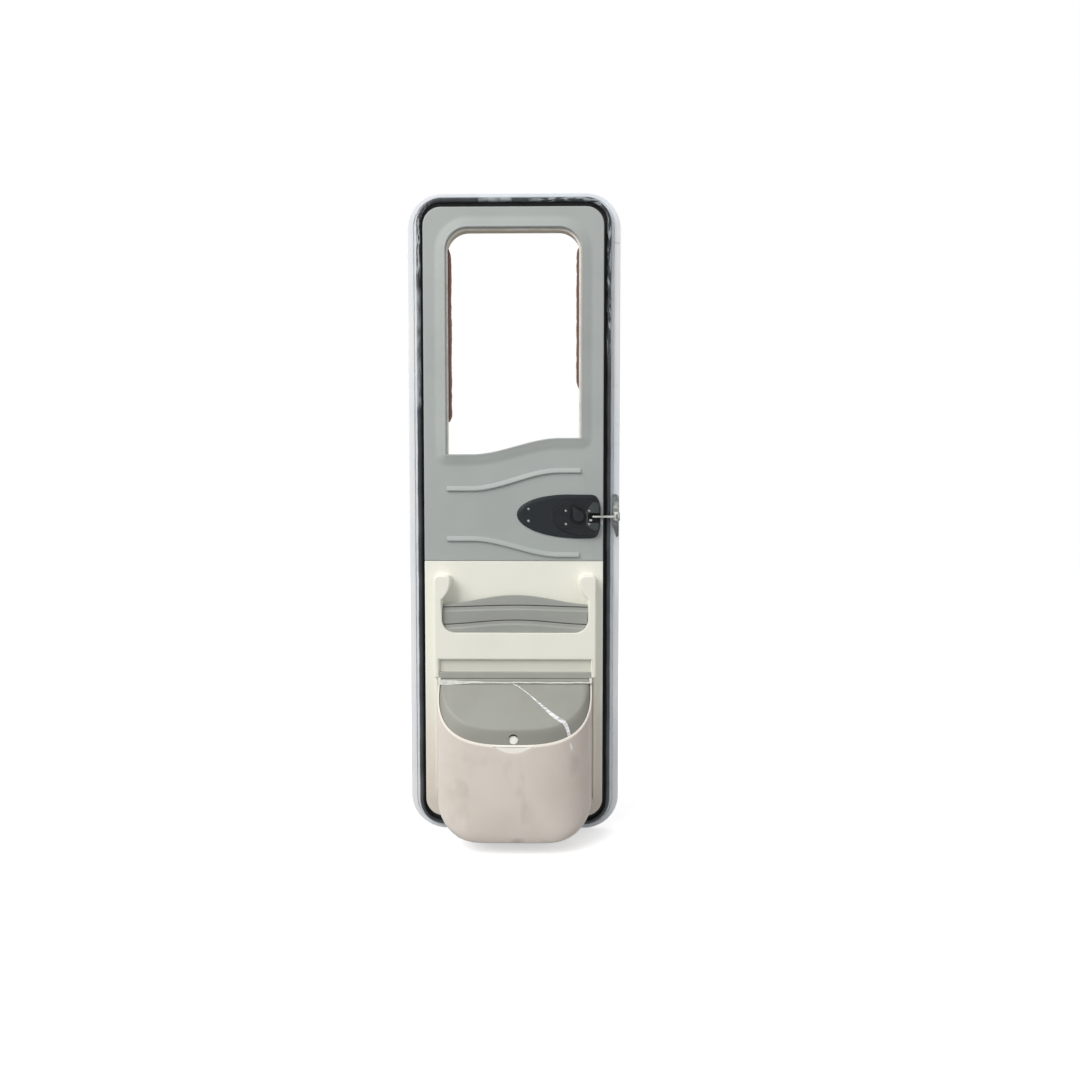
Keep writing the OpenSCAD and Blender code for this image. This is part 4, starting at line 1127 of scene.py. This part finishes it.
piece("bin_hinge_strip", [block_shell("hinge_strip", 1.2, 4, 1.6)], strip_grey, ["hinge_strip"])
hinge_y, hinge_z = console_y + 1.0, cad_box("hinge_rod")[1][2] - 2.5
for side in ("left", "right"):
    tab = piece("hinge_ear_" + side, [block_shell(side + "_hinge_tab", 1.2, 3)], cream,
                [side + "_hinge_tab"])
    cut(tab, [turned([(2.55, -250), (2.55, 250)], (CONSOLE_X, hinge_y, hinge_z), "x", 32)])
rod_reach = cad_box("hinge_rod")[1][0] - CONSOLE_X
rod_profile = [(1.6, -rod_reach), (2.5, -rod_reach + 0.8), (2.5, rod_reach - 0.8), (1.6, rod_reach)]
piece("hinge_rod_pin", [turned(rod_profile, (CONSOLE_X, hinge_y, hinge_z), "x", 32)], steel,
      ["hinge_rod"])

# %% [markdown]
# The bin is a deep shell. Seen from above its front is a superellipse, its rim falls in a
# straight line from the hinge to the front, and its lower corners are quarter rounds. Each ring
# of the grid is one level between rim and underside; the inner wall is the same shape a wall's
# thickness in. The thumb notch at the front is a shallow scoop in the rim's outer edge.

# %% Bin body
bin_low, bin_high = cad_box("bin_body")
half_bin = (bin_high[0] - bin_low[0]) / 2
bin_bottom = bin_low[2]
bin_depth_full = console_y - bin_low[1]
rim_z = hinge_z - 6.5
RIM_DROP, BIN_POWER, BIN_CORNER, BOTTOM_CURVE, WALL = 139.0, 2.9, 86.0, 12.0, 3.5
LEAN_IN = 1.05 * BIN_CORNER / half_bin


def front_curve(turn, half, depth, power=BIN_POWER):
    """Superellipse from one side (turn 0) over the front to the other side (turn pi)."""
    c, s = np.cos(turn), np.sin(turn)
    return -half * np.sign(c) * abs(c) ** (2 / power), depth * abs(s) ** (2 / power)


def rim_height(d):
    """Height of the sloping rim at the distance d in front of the console."""
    return rim_z - RIM_DROP * d / bin_depth_full


def bin_ring(fall, inset, low, lift=0.0):
    """One closed ring of the bin: front curve, squarer where the foot draws in, then the flat back."""
    turn = np.linspace(0, math.pi, 121)
    x, d = front_curve(turn, half_bin - inset, bin_depth_full - inset)
    top = rim_height(d) + lift
    back_x = np.linspace(half_bin - inset, -half_bin + inset, 25)
    z = np.concatenate([top + (low - top) * fall, np.full(25, rim_z + lift + (low - rim_z - lift) * fall)])
    rise = np.clip((low + BIN_CORNER - z) / BIN_CORNER, 0, 1)
    pull = 1 - np.sqrt(np.maximum(0, 1 - rise ** 2))
    x, d = front_curve(turn, half_bin - inset, bin_depth_full - inset, BIN_POWER + 4.5 * pull[:121])
    y = np.concatenate([console_y - d, np.full(25, liner_y - 0.3 - inset)])
    x = np.concatenate([x, back_x])
    in_front = np.concatenate([np.ones(121), np.zeros(25)])
    return np.column_stack([x * (1 - pull * LEAN_IN) + CONSOLE_X, y + pull * BOTTOM_CURVE * in_front, z])


falls = np.concatenate([np.linspace(0.02, 0.6, 16), np.linspace(0.63, 0.9, 14), [0.925, 0.95, 0.97, 0.985, 0.995, 1]])
outer = [bin_ring(fall, 0.0, bin_bottom) for fall in falls[::-1]]
lip = [bin_ring(0, inset, bin_bottom, lift) for inset, lift in
       ((0.0, -2.0), (0.2, -1.0), (0.8, -0.2), (1.8, 0.2), (3.0, 0.2), (4.0, -0.3), (4.4, -1.2), (4.4, -2.4), (3.6, -4.0))]
inner = [bin_ring(fall, WALL, bin_bottom + WALL) for fall in falls]
bin_points = np.array(outer + lip + inner)
scoop_reach, scoop_deep, scoop_in = 46.0, 17.0, 3.2
from_middle = np.clip(1 - ((bin_points[..., 0] - CONSOLE_X) / scoop_reach) ** 2, 0, 1)
under_rim = rim_height(bin_depth_full) - bin_points[..., 2]
near_rim = np.clip(1 - under_rim / np.maximum(scoop_deep * from_middle, 0.1), 0, 1)
is_front = (bin_points[..., 1] < console_y - 60) & (np.arange(len(bin_points)) < len(outer) + 2)[:, None]
bin_points[..., 1] += scoop_in * np.where(is_front, near_rim * (from_middle > 0), 0)
bin_shell = grid_shell(bin_points, close_columns=True, caps="first last")

# %% [markdown]
# Behind the finger hole of the lid the bin's front wall stands up in a small tongue, which the
# picture shows as a pale disc below a dark crescent. It is a curved plate inside the bin.

# %% Tongue and bin
tongue_low, tongue_top = rim_height(bin_depth_full) - 8, rim_height(bin_depth_full) + 25
tongue_ring = np.concatenate([
    [[CONSOLE_X - 17, tongue_low], [CONSOLE_X + 17, tongue_low]],
    arc(CONSOLE_X, tongue_top - 17, 17, 0, 180, 30)])
tongue_step = mitres(tongue_ring)
tongue_rows = [(0, 0, 1), (0, 1.6, 1), (0.5, 2.3, 1), (1.4, 2.7, 1), (1.4, 3.3, 0.8), (1.4, 3.9, 0.55), (1.4, 4.2, 0.3),
               (1.4, 4.3, 0.05)]
tongue_middle = np.array([CONSOLE_X, tongue_top - 17])
tongue_rings = [level_ring((ring_points - tongue_middle) * shrink + tongue_middle, 0) - [0, rise, 0]
                for ring_points, rise, shrink in
                [(tongue_ring + tongue_step * inset, rise, shrink) for inset, rise, shrink in tongue_rows]]
tongue_points, tongue_faces = grid_shell(np.array(tongue_rings), close_columns=True, caps="first last")
lean_back = 0.24 * (tongue_points[:, 2] - rim_height(bin_depth_full))
tongue_points[:, 1] += console_y - bin_depth_full + 11.0 + lean_back
piece("bin_shell", [bin_shell], bin_finish, ["bin_body"], sharp=40)
# The tongue's plastic is a paler copy of the bin's: painted light for the light falling in through the hole.
tongue_lit_plastic = moulded_plastic("tongue_lit_plastic", tone(243, 243, 236), tone(236, 236, 228), 0.35)
piece("bin_front_tongue", [(tongue_points, tongue_faces)], tongue_lit_plastic, sharp=40)

# %% [markdown]
# The lid is a grey moulding: a flat plateau that slopes forwards, a rounded ridge, and a steep
# skirt down to the rim. In polar form the share s runs from the hinge's middle (0) to the edge
# (1), so the ridge is one line of the grid. The finger hole is cut through the skirt and gets a
# rolled lip. A barrel along the hinge rod carries the lid.

# %% Bin lid
LID_DROP, LID_LIFT, LID_GAP, LID_WALL = 112.0, 0.9, 1.2, 2.2
half_lid = half_bin - WALL - LID_GAP
lid_depth = bin_depth_full - WALL - LID_GAP


def lid_surface(s, turn):
    """Upper face of the lid: the lower of a sloping plateau and a steep skirt, blended over 4 mm."""
    x, d = front_curve(turn, half_lid, lid_depth)
    x, d = s * x, s * d
    plateau = rim_z + LID_LIFT - LID_DROP * d / bin_depth_full
    steepness = 100 + 324 * np.sin(turn) ** 2 + 220 * np.cos(turn) ** 8
    skirt = rim_height(d) - 7 + (1 - s) * steepness
    z = (plateau + skirt - np.sqrt((plateau - skirt) ** 2 + 3.0 ** 2)) / 2
    return np.stack([x + CONSOLE_X, console_y - 0.5 - d, z], -1)


shares = np.concatenate([[0.02, 0.2, 0.4, 0.55], np.linspace(0.60, 0.86, 14), np.linspace(0.87, 1.0, 34)])
s_grid, turn_grid = np.meshgrid(shares, np.linspace(0, math.pi, 161), indexing="ij")
lid_points = lid_surface(s_grid, turn_grid)
lid_mesh = make_mesh("bin_lid_cover", [grid_shell(lid_points, caps="first")])
lid = bpy.data.objects.new("bin_lid_cover", lid_mesh)
bpy.context.scene.collection.objects.link(lid)
upward = np.zeros(len(lid_mesh.polygons) * 3)
lid_mesh.polygons.foreach_get("normal", upward)
if upward.reshape(-1, 3)[:, 2].mean() < 0:
    lid_mesh.flip_normals()
wall = lid.modifiers.new("wall", "SOLIDIFY")
wall.thickness, wall.offset, wall.use_even_offset = LID_WALL * MM, -1.0, False
hole_z = rim_height(bin_depth_full) + 19
cut(lid, [turned([(13, console_y - 60), (13, console_y - 130)], (CONSOLE_X, 0, hole_z), "y", 48)])
at = np.zeros(len(lid.data.vertices) * 3)
lid.data.vertices.foreach_get("co", at)
at = at.reshape(-1, 3) / MM - [mid_x + CONSOLE_X, 0, 0]
lid_x, lid_d = np.clip(abs(at[:, 0]) / half_lid, 0, 1), np.clip((console_y - at[:, 1]) / lid_depth, 0, 1)
lid_share = (lid_x ** BIN_POWER + lid_d ** BIN_POWER) ** (1 / BIN_POWER)
# The attribute set below marks the skirt for painted shade, stronger towards the lock side.
lock_side = 0.45 + 0.55 * smooth_rise(at[:, 0], -40, 150)
handled = smooth_rise(lid_share, 0.88, 0.97) * lock_side
lid.data.attributes.new("handled", "FLOAT", "POINT").data.foreach_set("value", handled)
seat(lid, grey_plastic, "bin_lid", ["bin_lid"])

# %% Lid barrel and the hole's lip
knuckle_low, knuckle_high = cad_box("lid_knuckle")
barrel_r = 5.5
barrel_x = np.array([knuckle_low[0], knuckle_low[0] + 0.8, knuckle_high[0] - 0.8, knuckle_high[0]])
barrel_outer = [(barrel_r - 0.8, barrel_x[0]), (barrel_r, barrel_x[1]), (barrel_r, barrel_x[2]),
                (barrel_r - 0.8, barrel_x[3])]
barrel_inner = [(2.6, barrel_x[3]), (2.6, barrel_x[0])]
ring_turn = np.linspace(0, 2 * math.pi, 40, endpoint=False)
barrel = np.array([np.column_stack([np.full(40, x), hinge_y + r * np.cos(ring_turn), hinge_z + r * np.sin(ring_turn)])
                   for r, x in barrel_outer + barrel_inner])
column = lid_points[:, 80]
front = int(np.argmin(abs(column[:, 2] - hole_z)))
tilt = column[front + 2] - column[front - 2]
tilt /= np.linalg.norm(tilt)
around = np.linspace(0, 2 * math.pi, 48, endpoint=False)
tube = np.linspace(0, 2 * math.pi, 12, endpoint=False)
radial = np.cos(around)[:, None] * np.array([1.0, 0, 0]) + np.sin(around)[:, None] * tilt
face_way = np.cross([1.0, 0, 0], tilt)
lip_points = (column[front] + radial[:, None] * (13.4 + 0.9 * np.cos(tube))[None, :, None]
              + face_way * (0.9 * np.sin(tube))[None, :, None])
piece("lid_barrel", [grid_shell(barrel, True, True), grid_shell(lip_points, True, True)],
      grey_plastic, ["lid_knuckle"], body="bin_lid", sharp=50)

# %% [markdown]
# Two remnants of protective film are left: a thin white line along the hinge, wider at the
# hinge side, and a twisted strand that runs down over the lid. Each is a narrow ribbon along a
# curve, crumpled by seeded noise, a quarter of a millimetre thick.

# %% Film remnants
def ribbon_shell(path, widths, lift, seed, crumple=0.6, thick=0.25):
    """A crumpled ribbon: a width laid across a path, raised along lift, with a little thickness."""
    noise = np.random.default_rng(seed)
    path, lift = np.array(path, float), np.array(lift, float)
    along = np.gradient(path, axis=0)
    along /= np.linalg.norm(along, axis=1)[:, None]
    across = np.cross(along, lift)
    across /= np.linalg.norm(across, axis=1)[:, None]
    share = np.linspace(-0.5, 0.5, 7)
    knots = np.linspace(0, 1, max(4, len(path) // 4))
    spread = np.linspace(0, 1, len(path))
    waves = np.column_stack([np.interp(spread, knots, noise.uniform(0, crumple, len(knots))) for _ in range(7)])
    top = (path[:, None] + across[:, None] * (np.array(widths)[:, None] * share)[..., None]
           + lift * (waves + thick)[..., None])
    bottom = top - lift * thick
    loop = np.concatenate([top, bottom[:, ::-1]], axis=1)
    return grid_shell(loop, close_columns=True, caps="first last")


line_x = np.linspace(-206, 206, 120)
line_path = np.column_stack([line_x + CONSOLE_X, np.full(120, hinge_y - 5.9), np.full(120, hinge_z - 3.4)])
line_path[:, 2] += 0.3 * np.sin(line_x / 23) + 0.2 * np.sin(line_x / 9 + 1)
line_w = np.interp(line_x, [-206, -170, -130, -60, 206], [13.0, 12.0, 7.0, 4.4, 4.2])
line = piece("film_line", [ribbon_shell(line_path, line_w, (0, -1, 0), 3, 0.1)], thin_film)
fleck_at = np.array([[147.0, -580.0], [148.0, -588.0], [150.5, -597.0], [152.5, -604.0]])
fleck_d = bin_depth_full * (1 - (abs(fleck_at[:, 0]) / half_bin) ** BIN_POWER) ** (1 / BIN_POWER)
fleck_path = np.column_stack([fleck_at[:, 0] + CONSOLE_X, console_y - fleck_d - 0.2, fleck_at[:, 1]])
fleck = piece("film_fleck", [ribbon_shell(fleck_path, [2.0, 5.0, 8.0, 5.0], (0.38, -0.92, 0), 9, 0.2)], thin_film)
print("film line placed")

# %% Film strand
strand_turns = np.linspace(0, 1, 60)
strand_plan = np.array([[-8, 2], [10, 8], [40, 26], [72, 48], [99, 67], [123, 80], [142, 86], [149, 96]], float)
plan_share = np.linspace(0, 1, len(strand_plan))
plan_x = np.interp(strand_turns, plan_share, strand_plan[:, 0])
plan_d = np.interp(strand_turns, plan_share, strand_plan[:, 1])
window = np.hanning(13) / np.hanning(13).sum()
plan_x = np.convolve(np.pad(plan_x, 6, "edge"), window, "valid")
plan_d = np.convolve(np.pad(plan_d, 6, "edge"), window, "valid")
strand = []
for x, d in zip(plan_x, plan_d):
    s = ((abs(x) / half_lid) ** BIN_POWER + (d / lid_depth) ** BIN_POWER) ** (1 / BIN_POWER)
    turn = math.atan2((d / lid_depth) ** (BIN_POWER / 2), -math.copysign((abs(x) / half_lid) ** (BIN_POWER / 2), x))
    strand.append(lid_surface(np.array(min(s, 1.0)), np.array(turn)))
strand_w = np.interp(strand_turns, [0, 0.25, 0.40, 0.55, 0.75, 0.85, 1], [2.2, 2.8, 5.0, 9.0, 12.0, 9.0, 7.0])
lift_way = np.array([0, -0.72, 0.69])
strand_shell = ribbon_shell(np.array(strand) + lift_way * 0.4, strand_w, lift_way, 5, 0.7)
strand_piece = piece("film_strand", [strand_shell], film, body="bin_lid")

# %% [markdown]
# The outside of the door isn't in the picture, so it is finished plainly: a flat white sheet, a
# black handle plate with a rounded grip, and a key cylinder with a bevelled face.

# %% Outside
def outside_shell(node, radius, edge):
    """A rounded plate that faces outwards and fills a CAD node's box."""
    low, high = cad_box(node)
    ring = rounded_box((low[0] + high[0]) / 2, (low[2] + high[2]) / 2, high[0] - low[0], high[2] - low[2], radius, 12)
    return plate_shell(ring, low[1], rounded_edge(high[1] - low[1], edge, 6), outwards=True)


piece("outside_handle_plate", [outside_shell("outer_handle_plate", 24, 3.5)], black_plastic,
      ["outer_handle_plate"])
piece("outside_handle_grip", [outside_shell("outer_handle", 14, 8)], turn_plastic, ["outer_handle"])
key_low, key_high = cad_box("key_cylinder")
key_middle = (turn_x, 0, (key_low[2] + key_high[2]) / 2)
key_profile = [(11, key_low[1]), (11, key_high[1] - 1.2), (10.4, key_high[1] - 0.3), (9.4, key_high[1]),
               (8.2, key_high[1] - 0.2), (8.0, key_high[1] - 0.9), (0.4, key_high[1] - 0.9)]
key = piece("key_cylinder_face", [turned(key_profile, key_middle, "y", 48)], steel, ["key_cylinder"])
key_slot = plate_shell(rounded_box(key_middle[0], key_middle[2], 2.2, 9, 1.0, 4), key_high[1] - 2.5, [(0, 0), (0, 6)],
                       outwards=True)
cut(key, [key_slot])

# %% [markdown]
# The outer sheet and the foam core keep their CAD shapes, which are right as they are, and only
# get their finishes. The other CAD nodes are hidden behind the pieces that stand for them.

# %% Finishes of the CAD nodes that stay
for node_name, finish in (("outer_skin", skin_paint), ("door_core", foam)):
    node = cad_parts[node_name]
    node.data.materials.clear()
    node.data.materials.append(finish.material)
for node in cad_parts.values():
    if not node.hide_render:
        print("CAD node kept:", node.name)

# %% [markdown]
# The floor is plain and pale. To the camera it gets a little light of its own, so that it
# fades into the white world, yet it is an ordinary surface that keeps the door's soft shadow.
# To other rays it is dimmer, so that it doesn't light the door's undersides from below.

# %% Floor and world
floor_size = 14.0
floor_mesh = bpy.data.meshes.new("floor")
corner = floor_size / 2
floor_mesh.from_pydata([(-corner, -corner, cad_low[2] - 0.001), (corner, -corner, cad_low[2] - 0.001),
                        (corner, corner, cad_low[2] - 0.001), (-corner, corner, cad_low[2] - 0.001)], [], [(0, 1, 2, 3)])
floor = bpy.data.objects.new("floor", floor_mesh)
bpy.context.scene.collection.objects.link(floor)
floor_finish = Finish("pale_floor", 0.9, specular=0.1)
seen_ray = floor_finish.node("ShaderNodeLightPath", {}, {}, "Is Camera Ray")
mirror_ray = floor_finish.node("ShaderNodeLightPath", {}, {}, "Is Glossy Ray")
shown = floor_finish.node("ShaderNodeMath", {"operation": "MAXIMUM"}, {0: seen_ray, 1: mirror_ray})
floor_finish.colour(floor_finish.mix(shown, (0.26, 0.26, 0.26, 1), (0.86, 0.86, 0.86, 1)))
floor_finish.shader.inputs["Emission Strength"].default_value = 1.0
glow = floor_finish.mix(shown, (0, 0, 0, 1), (0.5, 0.5, 0.5, 1))
floor_finish.tree.links.new(glow.socket, floor_finish.shader.inputs["Emission Color"])
floor_mesh.materials.append(floor_finish.material)
floor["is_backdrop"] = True

world = bpy.data.worlds.new("studio")
bpy.context.scene.world = world
world.use_nodes = True
tree = world.node_tree
rays = tree.nodes.new("ShaderNodeLightPath")
seen = tree.nodes.new("ShaderNodeMath")
seen.operation = "MAXIMUM"
tree.links.new(rays.outputs["Is Camera Ray"], seen.inputs[0])
tree.links.new(rays.outputs["Is Glossy Ray"], seen.inputs[1])
also = tree.nodes.new("ShaderNodeMath")
also.operation = "MAXIMUM"
tree.links.new(seen.outputs[0], also.inputs[0])
tree.links.new(rays.outputs["Is Transmission Ray"], also.inputs[1])
sky_way = tree.nodes.new("ShaderNodeTexCoord")
sky_axes = tree.nodes.new("ShaderNodeSeparateXYZ")
tree.links.new(sky_way.outputs["Generated"], sky_axes.inputs[0])
sky = tree.nodes.new("ShaderNodeMapRange")
for socket, value in zip((1, 2, 3, 4), (-0.7, 0.9, 0.14, 0.64)):
    sky.inputs[socket].default_value = value
tree.links.new(sky_axes.outputs[2], sky.inputs[0])
level = tree.nodes.new("ShaderNodeMix")
level.data_type = "RGBA"
tree.links.new(sky.outputs[0], level.inputs[6])
level.inputs[7].default_value = (1, 1, 1, 1)
tree.links.new(also.outputs[0], level.inputs[0])
tree.links.new(level.outputs[2], tree.nodes["Background"].inputs["Color"])
print("floor and world ready")

low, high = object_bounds()
print("visual box", [round(v, 4) for v in (*low, *high)])
